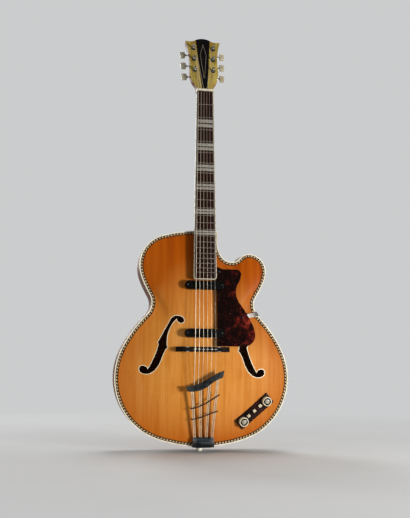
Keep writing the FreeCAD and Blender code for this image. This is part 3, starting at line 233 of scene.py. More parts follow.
def spruce():
    """Amber quarter-sawn top, palest about the bridge and deeper towards the rim and upper bout: partly its
    amber, partly a painted pool of light and painted shade.
    """
    late_wood = (0.36, 0.100, 0.007)
    cross_light = (0.70, 0.36, 0.10)
    stain = (0.42, 0.118, 0.008)
    rim_amber_and_shade = (0.38, 0.076, 0.0010)
    pale_height, pale_reach = 0.24, 0.225
    lower_half, upper_half = 0.225, 0.125
    narrow_from, narrow_to = 0.20, 0.40
    horn_lean = 0.35
    look = Look("spruce", Coat_Weight=0.04, Coat_Roughness=0.36, Specular_IOR_Level=0.02)
    halves = look.mirrored()
    fine = look.noise((900, 40, 5), detail=2.0, distortion=0.15, source=halves)
    streaks = look.noise((70, 20, 1.6), detail=3.0, distortion=0.3, source=halves)
    clouds = look.noise((11, 11, 7), detail=4.0)
    across = look.noise((26, 12, 95), detail=2.0)
    stains = look.noise((95, 20, 10), detail=4.0, distortion=0.4)
    tone = look.weighted(streaks, 0.45, clouds, 0.55)
    wood = look.ramp(tone, (0.32, (0.50, 0.170, 0.018)), (0.5, (0.60, 0.240, 0.042)),
                     (0.68, (0.68, 0.310, 0.078)))
    wood = look.tint(wood, late_wood, fine, 0.32, 0.48, 0.66)
    wood = look.tint(wood, cross_light, across, 0.10, 0.55, 0.75)
    wood = look.tint(wood, stain, stains, 0.45, 0.52, 0.70)
    x, z = look.axis("X"), look.axis("Z")
    half_width = look.spread(z, lower_half, upper_half, narrow_from, narrow_to)
    sideways = look.calc("POWER", look.calc("ABSOLUTE", look.calc("DIVIDE", x, half_width)), 2.4)
    upward = look.calc("ABSOLUTE", look.calc("DIVIDE", look.calc("SUBTRACT", z, pale_height), pale_reach))
    reach = look.calc("ADD", sideways, look.calc("POWER", upward, 3.4))
    reach = look.calc("ADD", reach, look.spread(clouds, -0.14, 0.14))
    # Tint towards the rim: partly the top's amber, partly painted light, a painted pool of light about the
    # bridge and painted shade towards the rim and the upper bout.
    wood = look.tint(wood, rim_amber_and_shade, reach, 0.92, 0.16, 1.1)
    # Deeper colour towards the upper bout and the horn: partly the top's amber, partly painted shade over
    # the horn, which the key lamp lights more.
    deep = look.ramp(streaks, (0.36, (0.25, 0.037, 0.0003)), (0.64, (0.40, 0.078, 0.0006)))
    towards_horn = look.calc("ADD", z, look.calc("MULTIPLY", x, horn_lean))
    wood = look.tint(wood, deep, towards_horn, 0.85, 0.26, 0.50)
    return look.finish(wood, look.spread(clouds, 0.38, 0.5), fine, depth=0.00006, strength=0.25)


def flamed(name, light, dark, flame_per_metre, flame_turn, grain_per_metre, gloss):
    """Wood with a flame that is the same on both sides of the centre line, fine grain and soft clouds."""
    look = Look(name, Coat_Weight=gloss, Coat_Roughness=0.12, Specular_IOR_Level=0.03)
    halves = look.mirrored()
    flame = look.noise(flame_per_metre, detail=1.5, distortion=0.6, turn=flame_turn, source=halves)
    grain = look.noise(grain_per_metre, detail=3.0)
    clouds = look.noise((7, 7, 7), detail=2.0)
    wood = look.ramp(flame, (0.34, dark), (0.5, midway(light, dark)), (0.64, light))
    wood = look.tint(wood, shade(dark, 0.6), grain, 0.4, 0.5, 0.72)
    wood = look.tint(wood, dark, clouds, 0.3)
    return look.finish(wood, look.spread(flame, 0.36, 0.5), grain, depth=0.00005, strength=0.3)


def celluloid(name, light, dark, gloss=0.3, level=0.4):
    """Aged plastic: cloudy yellowing, a few darker specks and soft scratches."""
    look = Look(name, Coat_Weight=gloss, Coat_Roughness=0.12, Specular_IOR_Level=level)
    clouds = look.noise((55, 55, 30), detail=4.0)
    specks = look.noise((700, 700, 700), detail=2.0)
    scratches = look.noise((1200, 1200, 90), detail=2.0, distortion=0.4)
    colour = look.ramp(clouds, (0.3, dark), (0.66, light))
    colour = look.tint(colour, shade(dark, 0.55), specks, 0.25, 0.62, 0.75)
    return look.finish(colour, look.spread(scratches, 0.26, 0.44), scratches, depth=0.00002, strength=0.25)


def dark_wood(name, light, dark, per_metre):
    """Streaked wood or fibre with darker pores."""
    look = Look(name, Coat_Weight=0.02, Coat_Roughness=0.2, Specular_IOR_Level=0.05)
    streaks = look.noise(per_metre, detail=5.0, distortion=0.3)
    pores = look.noise(shade(per_metre, 4), detail=2.0)
    colour = look.ramp(streaks, (0.32, dark), (0.55, midway(light, dark)), (0.7, light))
    colour = look.tint(colour, shade(dark, 0.35), pores, 0.8, 0.55, 0.7)
    return look.finish(colour, look.spread(streaks, 0.36, 0.52), pores, depth=0.00008, strength=0.5)


def metal(name, light, dark, polish, side_highlight=None):
    """Plated metal with clouded patches, fine rubbing marks and small pits.

    The last argument is (colour, middle, start, end): a painted highlight of that colour, in patches, grows
    from start to end, in metres along X to either side of the middle.
    """
    look = Look(name, Metallic=1.0)
    clouds = look.noise((70, 70, 70), detail=5.0, distortion=0.5)
    rubbed = look.noise((2200, 2200, 130), detail=2.0)
    pits = look.noise((1500, 1500, 1500), detail=1.0)
    colour = look.ramp(clouds, (0.34, dark), (0.6, light))
    # Lighter towards both sides, in patches: a painted highlight.
    if side_highlight is not None:
        highlight_colour, middle, start, end = side_highlight
        aside = look.calc("ABSOLUTE", look.calc("SUBTRACT", look.axis("X"), middle))
        side_share = look.spread(aside, 0.0, 1.0, start, end)
        patchy = look.calc("MULTIPLY", side_share, look.spread(clouds, 0.45, 1.0))
        colour = look.mix(patchy, colour, highlight_colour)
    colour = look.tint(colour, shade(dark, 0.4), pits, 0.5, 0.66, 0.76)
    tarnish = look.calc("ADD", look.spread(clouds, polish + 0.14, polish), look.spread(rubbed, -0.05, 0.07))
    return look.finish(colour, tarnish, rubbed, depth=0.00001, strength=0.3)


def tortoiseshell():
    """Nearly black shell: deep red patches open up towards the outer edge, with a few orange flecks."""
    orange = (0.34, 0.09, 0.030)
    lean = (0, 0.3, 0)
    look = Look("tortoiseshell", Coat_Weight=0.04, Coat_Roughness=0.06, Specular_IOR_Level=0.02)
    large = look.noise((44, 44, 30), detail=5.0, distortion=1.0, turn=lean)
    small = look.noise((150, 150, 115), detail=4.0, distortion=0.8, turn=lean)
    flecks = look.noise((420, 420, 260), detail=3.0)
    edge = look.spread(look.axis("X"), -0.09, 0.08, 0.045, 0.118)
    patches = look.calc("ADD", look.weighted(large, 0.62, small, 0.36), edge)
    colour = look.ramp(patches, (0.44, (0.004, 0.0010, 0.0009)), (0.53, (0.018, 0.0026, 0.0020)),
                       (0.60, (0.090, 0.007, 0.005)), (0.72, (0.25, 0.032, 0.013)))
    colour = look.tint(colour, orange, flecks, 0.35, 0.64, 0.74)
    return look.finish(colour, look.spread(small, 0.22, 0.34), small, depth=0.00003, strength=0.12)


def pearl():
    """Grey-white shell in wavy layers, dimmed in part as painted shade for the light falling off along the
    neck.
    """
    look = Look("pearl", Coat_Weight=0.2, Coat_Roughness=0.08)
    waves = look.noise((160, 160, 260), detail=3.0, distortion=2.0)
    colour = look.ramp(waves, (0.32, (0.13, 0.125, 0.10)), (0.46, (0.25, 0.235, 0.19)),
                       (0.58, (0.33, 0.315, 0.28)), (0.7, (0.19, 0.205, 0.185)))
    return look.finish(colour, look.spread(waves, 0.2, 0.34), waves, depth=0.00003, strength=0.2)


def wound_string():
    """Wound wire: ridges along it, and patches of tarnish."""
    bright = (0.60, 0.53, 0.42)
    dull = (0.38, 0.32, 0.24)
    look = Look("wound_string", Metallic=1.0)
    ridges = look.add("TexWave", "Fac", {"bands_direction": "Z"}, Vector=look.position, Scale=120)
    tarnish = look.noise((90, 90, 18), detail=3.0)
    colour = look.tint(bright, dull, tarnish, 0.7)
    return look.finish(colour, look.spread(tarnish, 0.34, 0.5), ridges, depth=0.00005, strength=0.5)


# Flamed woods: light and dark colour, flame per metre and its turn, grain per metre, gloss
FLAMED_WOODS = {
    "maple": ((0.40, 0.150, 0.026), (0.21, 0.060, 0.009), (9, 9, 105), (0, 0.24, 0), (420, 60, 30), 0.14),
    # rib_maple is a darker copy of the maple: painted shade on the ribs.
    "rib_maple": ((0.24, 0.076, 0.011), (0.11, 0.029, 0.004), (95, 6, 95), (0, 0, 0), (40, 520, 40), 0.0),
    "neck_maple": ((0.32, 0.112, 0.020), (0.18, 0.054, 0.009), (26, 26, 60), (0, 0.1, 0), (520, 520, 14),
                   0.02),
    "inner_wood": ((0.62, 0.44, 0.24), (0.48, 0.31, 0.15), (60, 60, 9), (0, 0, 0), (700, 90, 9), 0.0),
    "pale_head": ((0.52, 0.405, 0.100), (0.29, 0.180, 0.026), (90, 34, 14), (0, 0.2, 0), (420, 60, 18),
                  0.06),
}

# Plastics: light and dark colour, and gloss and specular level where they aren't the usual ones
CELLULOIDS = {
    "white_celluloid": ((0.84, 0.80, 0.68), (0.68, 0.60, 0.42)),
    "cream_celluloid": ((0.78, 0.70, 0.50), (0.60, 0.49, 0.29)),
    "board_celluloid": ((0.56, 0.51, 0.41), (0.42, 0.36, 0.26)),
    "dull_celluloid": ((0.26, 0.20, 0.13), (0.15, 0.11, 0.07)),
    "rope_light": ((0.60, 0.44, 0.23), (0.44, 0.31, 0.15)),
    "rope_dark": ((0.040, 0.017, 0.006), (0.016, 0.007, 0.003), 0.03, 0.05),
    "bone": ((0.80, 0.75, 0.62), (0.66, 0.58, 0.42), 0.2),
    "black_celluloid": ((0.004, 0.004, 0.004), (0.002, 0.002, 0.002), 0.03, 0.02),
    "console_brown": ((0.024, 0.008, 0.006), (0.007, 0.003, 0.003), 0.03, 0.02),
    "ivory_plastic": ((0.72, 0.62, 0.38), (0.54, 0.42, 0.20)),
    "button_plastic": ((0.54, 0.49, 0.35), (0.38, 0.33, 0.20)),
    "knob_cream": ((0.70, 0.64, 0.48), (0.52, 0.45, 0.30)),
    "knob_cap": ((0.36, 0.33, 0.25), (0.24, 0.22, 0.16)),
}

# Dark woods and fibre: light and dark colour, streaks per metre
DARK_WOODS = {
    # rosewood is darker in part as painted shade, for the light falling off along the neck.
    "rosewood": ((0.034, 0.0105, 0.0062), (0.008, 0.0026, 0.0018), (240, 240, 7)),
    "ebony": ((0.012, 0.008, 0.007), (0.004, 0.003, 0.003), (9, 220, 220)),
    "switch_fibre": ((0.16, 0.085, 0.035), (0.09, 0.045, 0.02), (300, 300, 300)),
}

# Metals: light and dark colour, roughness where polished, and a painted highlight towards the sides where
# there is any
METALS = {
    # fret_metal is dimmed in part as painted shade, for the light falling off along the neck.
    "fret_metal": ((0.20, 0.170, 0.14), (0.12, 0.100, 0.08), 0.36),
    "nickel": ((0.62, 0.61, 0.58), (0.38, 0.38, 0.37), 0.2),
    # post_metal is nickel darkened as painted shade of the posts and their windings; the screws and the
    # jack nut use it too.
    "post_metal": ((0.20, 0.19, 0.17), (0.08, 0.075, 0.068), 0.28),
    # rod_metal is nickel warmed to amber: a painted reflection of the orange top.
    "rod_metal": ((0.90, 0.74, 0.52), (0.60, 0.47, 0.32), 0.26),
    "guard_metal": ((0.40, 0.37, 0.34), (0.26, 0.235, 0.21), 0.34),
    # dark_nickel, anchor_metal and bar_metal are nickel darkened to blue-grey: a painted reflection of dark
    # surroundings.
    "dark_nickel": ((0.062, 0.074, 0.085), (0.019, 0.024, 0.030), 0.30),
    "anchor_metal": ((0.048, 0.062, 0.068), (0.012, 0.018, 0.024), 0.30,
                     ((0.17, 0.165, 0.155), 0.002, 0.015, 0.024)),
    "bar_metal": ((0.040, 0.047, 0.050), (0.008, 0.010, 0.013), 0.30,
                  ((0.075, 0.085, 0.086), 0.0, 0.022, 0.040)),
    "dark_strip": ((0.10, 0.060, 0.042), (0.04, 0.026, 0.020), 0.34),
    "string_steel": ((0.62, 0.59, 0.53), (0.44, 0.41, 0.36), 0.28),
    "copper_coil": ((0.55, 0.24, 0.10), (0.32, 0.12, 0.05), 0.34),
    "control_metal": ((0.52, 0.51, 0.48), (0.34, 0.33, 0.31), 0.3),
}
looks = {
    "spruce": spruce(),
    "tortoiseshell": tortoiseshell(),
    "pearl": pearl(),
    "wound_string": wound_string(),
}
LOOK_TABLES = ((flamed, FLAMED_WOODS), (celluloid, CELLULOIDS), (dark_wood, DARK_WOODS), (metal, METALS))
for make, table in LOOK_TABLES:
    for name, values in table.items():
        looks[name] = make(name, *values)

# Nodes whose look isn't named after their material slot
OTHER_LOOKS = {
    "bass_rib": "rib_maple", "treble_rib": "rib_maple", "cutaway_rib": "rib_maple",
    # The bushings' dark_nickel also stands for painted shade round the posts.
    "headstock_face": "pale_head", "console_plate": "console_brown", "post_bushings": "dark_nickel",
    "tailpiece_crossbar": "bar_metal", "tailpiece_anchor": "anchor_metal", "end_pin": "white_celluloid",
    "top_purfling": "rope_dark", "fingerboard_binding": "board_celluloid", "saddle_frets": "nickel",
    "pickguard_bracket": "guard_metal", "tailpiece_rods": "rod_metal",
    **{"tuner_button_%d" % number: "nickel" for number in STRING_NUMBERS},
    **{"string_post_%d" % number: "post_metal" for number in STRING_NUMBERS},
}
slot_names = {name: node.material_slots[0].material.name for name, node in nodes.items()}
for name, node in nodes.items():
    node.material_slots[0].material = looks[OTHER_LOOKS.get(name, slot_names[name])]

# Mesh pieces: a form is (vertices, faces), and edges at more than the crease, in degrees, stay sharp
CREASE = 32
BEVEL_CREASE = 30
BEVEL_SEGMENTS = 2
FLAT_ANGLE = 0.6
WELD = 2e-6


def mesh_of(name, form):
    """New mesh from a form."""
    vertices, faces = form
    mesh = bpy.data.meshes.new(name)
    mesh.from_pydata([tuple(vertex) for vertex in vertices], [], faces)
    return mesh


def smooth(mesh, crease):
    mesh.polygons.foreach_set("use_smooth", [True] * len(mesh.polygons))
    mesh.set_sharp_from_angle(angle=math.radians(crease))


def add_object(name, data):
    """New object in the scene, at the part's own origin."""
    made = bpy.data.objects.new(name, data)
    scene.collection.objects.link(made)
    return made


def piece(name, body, form, look_names, bands=None, crease=CREASE):
    """New object from a form in the part's frame; bands gives each face's look."""
    mesh = mesh_of(name, form)
    for look_name in look_names:
        mesh.materials.append(looks[look_name])
    if bands is not None:
        mesh.polygons.foreach_set("material_index", bands)
    smooth(mesh, crease)
    mesh.update()
    made = add_object(name, mesh)
    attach(made, body)
    return made


def placed(form, matrix):
    """A form moved by a matrix."""
    vertices, faces = form
    return [matrix @ Vector(vertex) for vertex in vertices], faces


def joined(forms):
    """Several forms as one."""
    vertices, faces = [], []
    for more_vertices, more_faces in forms:
        start = len(vertices)
        vertices += list(more_vertices)
        faces += [tuple(index + start for index in face) for face in more_faces]
    return vertices, faces


def skinned(rings):
    """Closed form through rings that have equally many points, with both ends capped."""
    count = len(rings[0])
    vertices = [point for ring in rings for point in ring]
    faces = []
    for row in range(len(rings) - 1):
        here, above = row * count, (row + 1) * count
        for step in range(count):
            following = (step + 1) % count
            faces.append((here + step, here + following, above + following, above + step))
    faces.append(tuple(reversed(range(count))))
    faces.append(tuple(range(len(vertices) - count, len(vertices))))
    return vertices, faces


def turned(profile, steps):
    """Form turned about Z from rows of (radius, height, ripple); ripple lifts every other step."""
    rings = []
    for radius, height, ripple in profile:
        ring = []
        for step in range(steps):
            reach = (radius + (ripple if step % 2 else -ripple)) * MM
            angle = 2 * math.pi * step / steps
            ring.append(Vector((reach * math.cos(angle), reach * math.sin(angle), height * MM)))
        rings.append(ring)
    return skinned(rings)


def rectangle(left, right, low, high):
    """Corners of a rectangle, counter-clockwise."""
    return [(left, low), (right, low), (right, high), (left, high)]


def extruded(outline, low, high):
    """Form on (x, z) corners in millimetres, counter-clockwise seen from -Y, between two depths along Y."""
    return skinned([[Vector((x, depth, z)) * MM for x, z in outline] for depth in (high, low)])


def rounded(name, width):
    """Copy of a CAD node with its sharp edges rounded, which stands for the node."""
    node = nodes[name]
    form = bmesh.new()
    form.from_mesh(node.data)
    bmesh.ops.remove_doubles(form, verts=form.verts, dist=WELD)
    bmesh.ops.dissolve_limit(form, angle_limit=math.radians(FLAT_ANGLE), verts=form.verts, edges=form.edges)
    sharp = [edge for edge in form.edges
             if len(edge.link_faces) == 2 and edge.calc_face_angle() > math.radians(BEVEL_CREASE)]
    bmesh.ops.bevel(form, geom=sharp, offset=width * MM, segments=BEVEL_SEGMENTS, affect="EDGES",
                    clamp_overlap=True)
    mesh = bpy.data.meshes.new(name + "_rounded")
    form.to_mesh(mesh)
    form.free()
    mesh.materials.append(node.material_slots[0].material)
    smooth(mesh, BEVEL_CREASE)
    made = add_object(name + "_rounded", mesh)
    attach(made, node["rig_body"])
    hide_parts(name)
    return made


def cut_mesh(mesh, tool):
    """Copy of a mesh with a form cut out of it."""
    whole = add_object(mesh.name, mesh)
    cutter = add_object("cutter", mesh_of("cutter", tool))
    cut = whole.modifiers.new("cut", "BOOLEAN")
    cut.object = cutter
    cut.operation = "DIFFERENCE"
    cut.solver = "EXACT"
    bpy.context.view_layer.update()
    result = bpy.data.meshes.new_from_object(whole.evaluated_get(bpy.context.evaluated_depsgraph_get()))
    for helper in (whole, cutter):
        bpy.data.objects.remove(helper)
    smooth(result, CREASE)
    return result


# Rope purfling: slanted light blocks in a dark band round the top, between two dark lines
ROPE_PITCH = 7.6 * MM
ROPE_SLANT = 1
SPLITS = 8
LIGHT_SPLITS = 4
LINE_OUTER = 0.9 * MM
LINE_INNER = 1.2 * MM
LINE_SPREAD = 0.9 * MM
LINE_LIFT = 0.05 * MM
WIDTH_SAMPLES = 40
SAME_FACE = 1e-5
ROUNDING = 1e-12


def neighbours(loop):
    """Each point of a closed row with the next one."""
    return list(zip(loop, loop[1:] + loop[:1]))


def loop_length(loop):
    return sum((b - a).length for a, b in neighbours(loop))


def border_loops(node):
    """Rows of points round the outer and the inner border of a flat ring's front face, longest first."""
    form = bmesh.new()
    form.from_mesh(node.data)
    bmesh.ops.remove_doubles(form, verts=form.verts, dist=WELD)
    form.verts.index_update()
    front = min(vertex.co.y for vertex in form.verts)
    beside = {}
    for edge in form.edges:
        on_front = [face for face in edge.link_faces if max(v.co.y for v in face.verts) < front + SAME_FACE]
        if len(on_front) == 1:
            first, second = (vertex.index for vertex in edge.verts)
            beside.setdefault(first, []).append(second)
            beside.setdefault(second, []).append(first)
    form.verts.ensure_lookup_table()
    loops = []
    left = sorted(beside)
    while left:
        walk = [left[0]]
        while True:
            fresh = [index for index in beside[walk[-1]] if index in left and index not in walk]
            if not fresh:
                break
            walk.append(fresh[0])
        left = [index for index in left if index not in set(walk)]
        loops.append([form.verts[index].co.copy() for index in walk])
    form.free()
    return sorted(loops, key=loop_length, reverse=True)


def evenly(loop, count):
    """Points at even steps round a closed row of points."""
    step = loop_length(loop) / count
    result = []
    walked, wanted = 0.0, 0.0
    for a, b in neighbours(loop):
        span = (b - a).length
        while wanted < walked + span - ROUNDING and len(result) < count:
            result.append(a.lerp(b, (wanted - walked) / span))
            wanted += step
        walked += span
    return result


outer_loop, inner_loop = border_loops(nodes["top_purfling"])[:2]
purfling_width = min((a - b).length for a in outer_loop[:WIDTH_SAMPLES] for b in inner_loop)
pitch_count = round(loop_length(outer_loop) / ROPE_PITCH)
stations = evenly(outer_loop, pitch_count * SPLITS)
turning = sum(a.x * b.z - b.x * a.z for a, b in neighbours(stations))
turn_sign = 1 if turning > 0 else -1
rope_insets = [LINE_OUTER, (LINE_OUTER + purfling_width - LINE_INNER) / 2, purfling_width - LINE_INNER]


def inset_point(index, inset):
    """Point so far in from the outer border, beside one station."""
    count = len(stations)
    before, here, after = (stations[(index + shift) % count] for shift in (-1, 0, 1))
    along = (after - before).normalized()
    inward = Vector((-along.z, 0, along.x))
    return here + inward * (inset * turn_sign)


def rope_row(index):
    """Points across the rope at one station, slanted along it."""
    return [inset_point(index + ROPE_SLANT * share, inset) for share, inset in zip((-1, 0, 1), rope_insets)]


def facing_front(face):
    """Corners of a face in the order that turns it to the front, whichever way the stations run."""
    return face if turn_sign > 0 else tuple(reversed(face))


def line_strip(name, first, second):
    """Dark line round the top between two insets, a little in front of the rope."""
    vertices, faces = [], []
    count = len(stations)
    lift = Vector((0, -LINE_LIFT, 0))
    for index in range(count):
        vertices += [inset_point(index, first) + lift, inset_point(index, second) + lift]
        a, b = 2 * index, 2 * ((index + 1) % count)
        faces.append(facing_front((a, b, b + 1, a + 1)))
    piece(name, "guitar", (vertices, faces), ["rope_dark"])


rope_vertices, rope_faces, rope_bands = [], [], []
for index in range(len(stations)):
    start = len(rope_vertices)
    rope_vertices += rope_row(index) + rope_row(index + 1)
    for first in (start, start + 1):
        rope_faces.append(facing_front((first, first + 3, first + 4, first + 1)))
        rope_bands.append(0 if index % SPLITS < LIGHT_SPLITS else 1)
rope = piece("rope_purfling_blocks", "guitar", (rope_vertices, rope_faces),
             ["rope_light", "rope_dark"], rope_bands)
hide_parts("top_purfling")
line_strip("purfling_outer_line", -LINE_SPREAD / 2, LINE_OUTER)
line_strip("purfling_inner_line", purfling_width - LINE_INNER, purfling_width + LINE_SPREAD)

# Strings, from the crossbar over the saddle and the nut to the turns round their posts
NUT_SPREAD = 35
BRIDGE_SPREAD = 50
STRING_DIAMETERS = (1.3, 1.05, 0.8, 0.6, 0.45, 0.35)
WOUND_STRINGS = 4
STRING_FACETS = 3
STRING_MARGIN = 0.3 * MM
SADDLE_GAP = 0.1
NUT_STRING_HEIGHT = 1.3
NUT_HALF = 2.5
STRING_TURNS = 3
STEPS_PER_TURN = 24
TURN_GAP = 0.5
POST_REACH = 2.93
TURN_START = -10.2
APPROACH = 12
saddle_low_corner, saddle_high_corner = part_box("saddle_frets")
bridge_z = (saddle_low_corner.z + saddle_high_corner.z) / 2
string_points = [vertex.co for vertex in nodes["strings"].data.vertices]


def post_turns(number, radius):
    """Places round one string's post, from near its tip towards the headstock."""
    post = HEAD.inverted() @ Vector(joints["post_turn_%d" % number]["pos_m"])
    side = 1 if post.x > 0 else -1
    reach = (POST_REACH + radius) * MM
    advance = (2 * radius + TURN_GAP) * MM
    turns = []
    for step in range(STRING_TURNS * STEPS_PER_TURN + 1):
        angle = 2 * math.pi * step / STEPS_PER_TURN
        turns.append(HEAD @ Vector((post.x - side * reach * math.cos(angle),
                                    TURN_START * MM + advance * step / STEPS_PER_TURN,
                                    post.z + reach * math.sin(angle))))
    return turns


def string_route(number, radius):
    """Places along one string: its held end, the saddle, the nut, and the turns with the way up to them."""
    share = (number - 1) / (STRING_COUNT - 1) - 0.5
    bridge_x = share * BRIDGE_SPREAD * MM
    near = [point for point in string_points if abs(point.x - bridge_x) < 2 * radius * MM + STRING_MARGIN]
    lowest = min(point.z for point in near)
    ends = [point for point in near if point.z < lowest + 2 * radius * MM]
    held = sum(ends, Vector()) / len(ends)
    held.x = bridge_x
    over_saddle = Vector((bridge_x, saddle_low_corner.y - (radius + SADDLE_GAP) * MM, bridge_z))
    over_nut = NECK @ (Vector((share * NUT_SPREAD, -NUT_STRING_HEIGHT - radius, NUT_HALF)) * MM)
    turns = post_turns(number, radius)
    approach = turns[0] + (over_nut - turns[0]).normalized() * (APPROACH * MM)
    return [held, over_saddle, over_nut, approach] + turns


for number, diameter in zip(STRING_NUMBERS, STRING_DIAMETERS):
    route = string_route(number, diameter / 2)
    curve = bpy.data.curves.new("string_%d" % number, "CURVE")
    curve.dimensions = "3D"
    curve.bevel_depth = diameter / 2 * MM
    curve.bevel_resolution = STRING_FACETS
    curve.use_fill_caps = True
    spline = curve.splines.new("POLY")
    spline.points.add(len(route) - 1)
    for point, place in zip(spline.points, route):
        point.co = (*place, 1)
    curve.materials.append(looks["wound_string" if number <= WOUND_STRINGS else "string_steel"])
    string = add_object("string_%d" % number, curve)
    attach(string, "guitar")
    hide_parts("strings")

# Tuner buttons: ivory grips over the worm shafts, with a metal ferrule
BUTTON_START = 19.5
BUTTON_LENGTH = 13.0
BUTTON_HALF = (8.85, 4.35)
BUTTON_SQUARE = 5.0
BUTTON_STEPS = 40
BUTTON_CREASE = 50
BUTTON_ROWS = ((0.0, 0.62), (0.025, 0.85), (0.075, 0.965), (0.16, 1.0), (0.5, 0.985), (0.84, 1.0),
               (0.925, 0.965), (0.975, 0.85), (1.0, 0.70))
FERRULE_PROFILE = [(2.2, 15.5, 0), (3.2, 15.8, 0), (3.4, 17.0, 0), (2.8, 17.6, 0), (3.6, 18.4, 0),
                   (3.8, 19.8, 0)]
FERRULE_STEPS = 32


def squarish(half_x, half_y, height):
    """Ring between an ellipse and a rectangle, in metres from sizes in millimetres."""
    ring = []
    for step in range(BUTTON_STEPS):
        angle = 2 * math.pi * step / BUTTON_STEPS
        x, y = math.cos(angle), math.sin(angle)
        ring.append(Vector((math.copysign(abs(x) ** (2 / BUTTON_SQUARE), x) * half_x,
                            math.copysign(abs(y) ** (2 / BUTTON_SQUARE), y) * half_y, height)) * MM)
    return ring


for number in STRING_NUMBERS:
    joint = joints["button_turn_%d" % number]
    origin = Vector(joint["pos_m"])
    outward = Vector(joint["axis"])
    if origin.x < 0:
        outward = -outward
    place = axis_frame(origin, outward, head_up)
    rings = [squarish(BUTTON_HALF[0] * share, BUTTON_HALF[1] * share ** 2,
                      BUTTON_START + BUTTON_LENGTH * along) for along, share in BUTTON_ROWS]
    body = "tuner_button_%d" % number
    grip = placed(skinned(rings), place)
    piece("button_grip_%d" % number, body, grip, ["button_plastic"], crease=BUTTON_CREASE)
    ferrule = placed(turned(FERRULE_PROFILE, FERRULE_STEPS), place)
    piece("button_ferrule_%d" % number, body, ferrule, ["nickel"])

# Bridge thumbwheels with milled rims
WHEEL_TEETH = 44
WHEEL_CORE = 2.1
# Inset from the rim, rise from a face, and ripple
RIM_ROWS = ((0.9, 0, 0), (0.25, 0.45, 0.12), (0.2, 0.5, 0.2))
# Radius, and depth under the upper face
DISH_ROWS = ((3.4, 0), (3.2, 0.35), (WHEEL_CORE, 0.35))
for side in ("bass", "treble"):
    node_name = side + "_thumbwheel"
    wheel_low, wheel_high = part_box(node_name)
    radius = (wheel_high.x - wheel_low.x) / 2 / MM
    height = (wheel_high.y - wheel_low.y) / MM
    foot = Vector(((wheel_low.x + wheel_high.x) / 2, wheel_high.y, (wheel_low.z + wheel_high.z) / 2))
    place = axis_frame(foot, joints[node_name + "_turn"]["axis"], (1, 0, 0))
    profile = [(WHEEL_CORE, 0, 0)]
    profile += [(radius - inset, rise, ripple) for inset, rise, ripple in RIM_ROWS]
    profile += [(radius - inset, height - rise, ripple) for inset, rise, ripple in reversed(RIM_ROWS)]
    profile += [(dish_radius, height - depth, 0) for dish_radius, depth in DISH_ROWS]
    rim = placed(turned(profile, 2 * WHEEL_TEETH), place)
    wheel = piece(node_name + "_milled", node_name, rim, ["nickel"])
    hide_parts(node_name)

# Control knobs: cream with fluted sides, a dark groove round a grey cap, and a pointer line
KNOB_STEPS = 60
CREAM, DARK, CAP = 0, 1, 2
KNOB_LOOKS = ["knob_cream", "black_celluloid", "knob_cap"]
# Radius, height, ripple and look
KNOB_ROWS = [
    (3.0, -5.0, 0, DARK), (3.0, 0.8, 0, DARK), (11.1, 0.8, 0, CREAM), (11.4, 1.2, 0, CREAM),
    (11.25, 1.7, 0.2, CREAM), (11.25, 9.0, 0.2, CREAM), (11.3, 9.6, 0, CREAM), (10.9, 10.5, 0, CREAM),
    (10.2, 10.95, 0, CREAM), (9.1, 11.0, 0, CREAM), (8.9, 10.9, 0, DARK), (8.6, 10.1, 0, DARK),
    (5.8, 10.0, 0, DARK), (5.6, 10.4, 0, CAP), (5.0, 10.75, 0, CAP), (3.2, 10.95, 0, CAP),
    (0.5, 11.0, 0, CAP)]
KNOB_TOP = 11.0
POINTER = (9.0, 10.1, -0.3, 0.3)
POINTER_RISE = 0.08
for knob in ("tone_knob", "volume_knob"):
    joint = joints[knob + "_turn"]
    place = axis_frame(Vector(joint["pos_m"]), joint["axis"], console_x)
    form = turned([row[:3] for row in KNOB_ROWS], KNOB_STEPS)
    bands = [row[3] for row in KNOB_ROWS[:-1] for _ in range(KNOB_STEPS)] + [DARK, CAP]
    dial = piece(knob + "_dial", knob, placed(form, place), KNOB_LOOKS, bands)
    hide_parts(knob)
    on_top = place @ Matrix.Translation((0, 0, KNOB_TOP * MM)) @ Matrix.Rotation(math.pi / 2, 4, "X")
    mark = placed(extruded(rectangle(*POINTER), -POINTER_RISE, POINTER_RISE), on_top)
    piece(knob + "_pointer", knob, mark, ["black_celluloid"])

# Switch sliders with ridged caps; the profile is (z, y) in the console's frame, whose front is at -y
SLIDER_COUNT = 3
SLIDER_HALF = 3.6
STEM_HALF = 2.2
STEM_FOOT = 8.0
CAP_UNDER = -0.6
CAP_BEVEL = 0.3
RIDGES = 4
RIDGE_LOW = -4.3
RIDGE_TOP = -5.0
ridge_pitch = 2 * SLIDER_HALF / RIDGES
cap_profile = [(-STEM_HALF, STEM_FOOT), (STEM_HALF, STEM_FOOT), (STEM_HALF, CAP_UNDER),
               (SLIDER_HALF - CAP_BEVEL, CAP_UNDER), (SLIDER_HALF, CAP_UNDER - CAP_BEVEL)]
for ridge in range(RIDGES):
    ridge_start = SLIDER_HALF - ridge * ridge_pitch
    cap_profile += [(ridge_start, RIDGE_LOW), (ridge_start - 0.25 * ridge_pitch, RIDGE_TOP),
                    (ridge_start - 0.75 * ridge_pitch, RIDGE_TOP)]
cap_profile += [(-SLIDER_HALF, RIDGE_LOW), (-SLIDER_HALF, CAP_UNDER - CAP_BEVEL),
                (-SLIDER_HALF + CAP_BEVEL, CAP_UNDER), (-STEM_HALF, CAP_UNDER)]
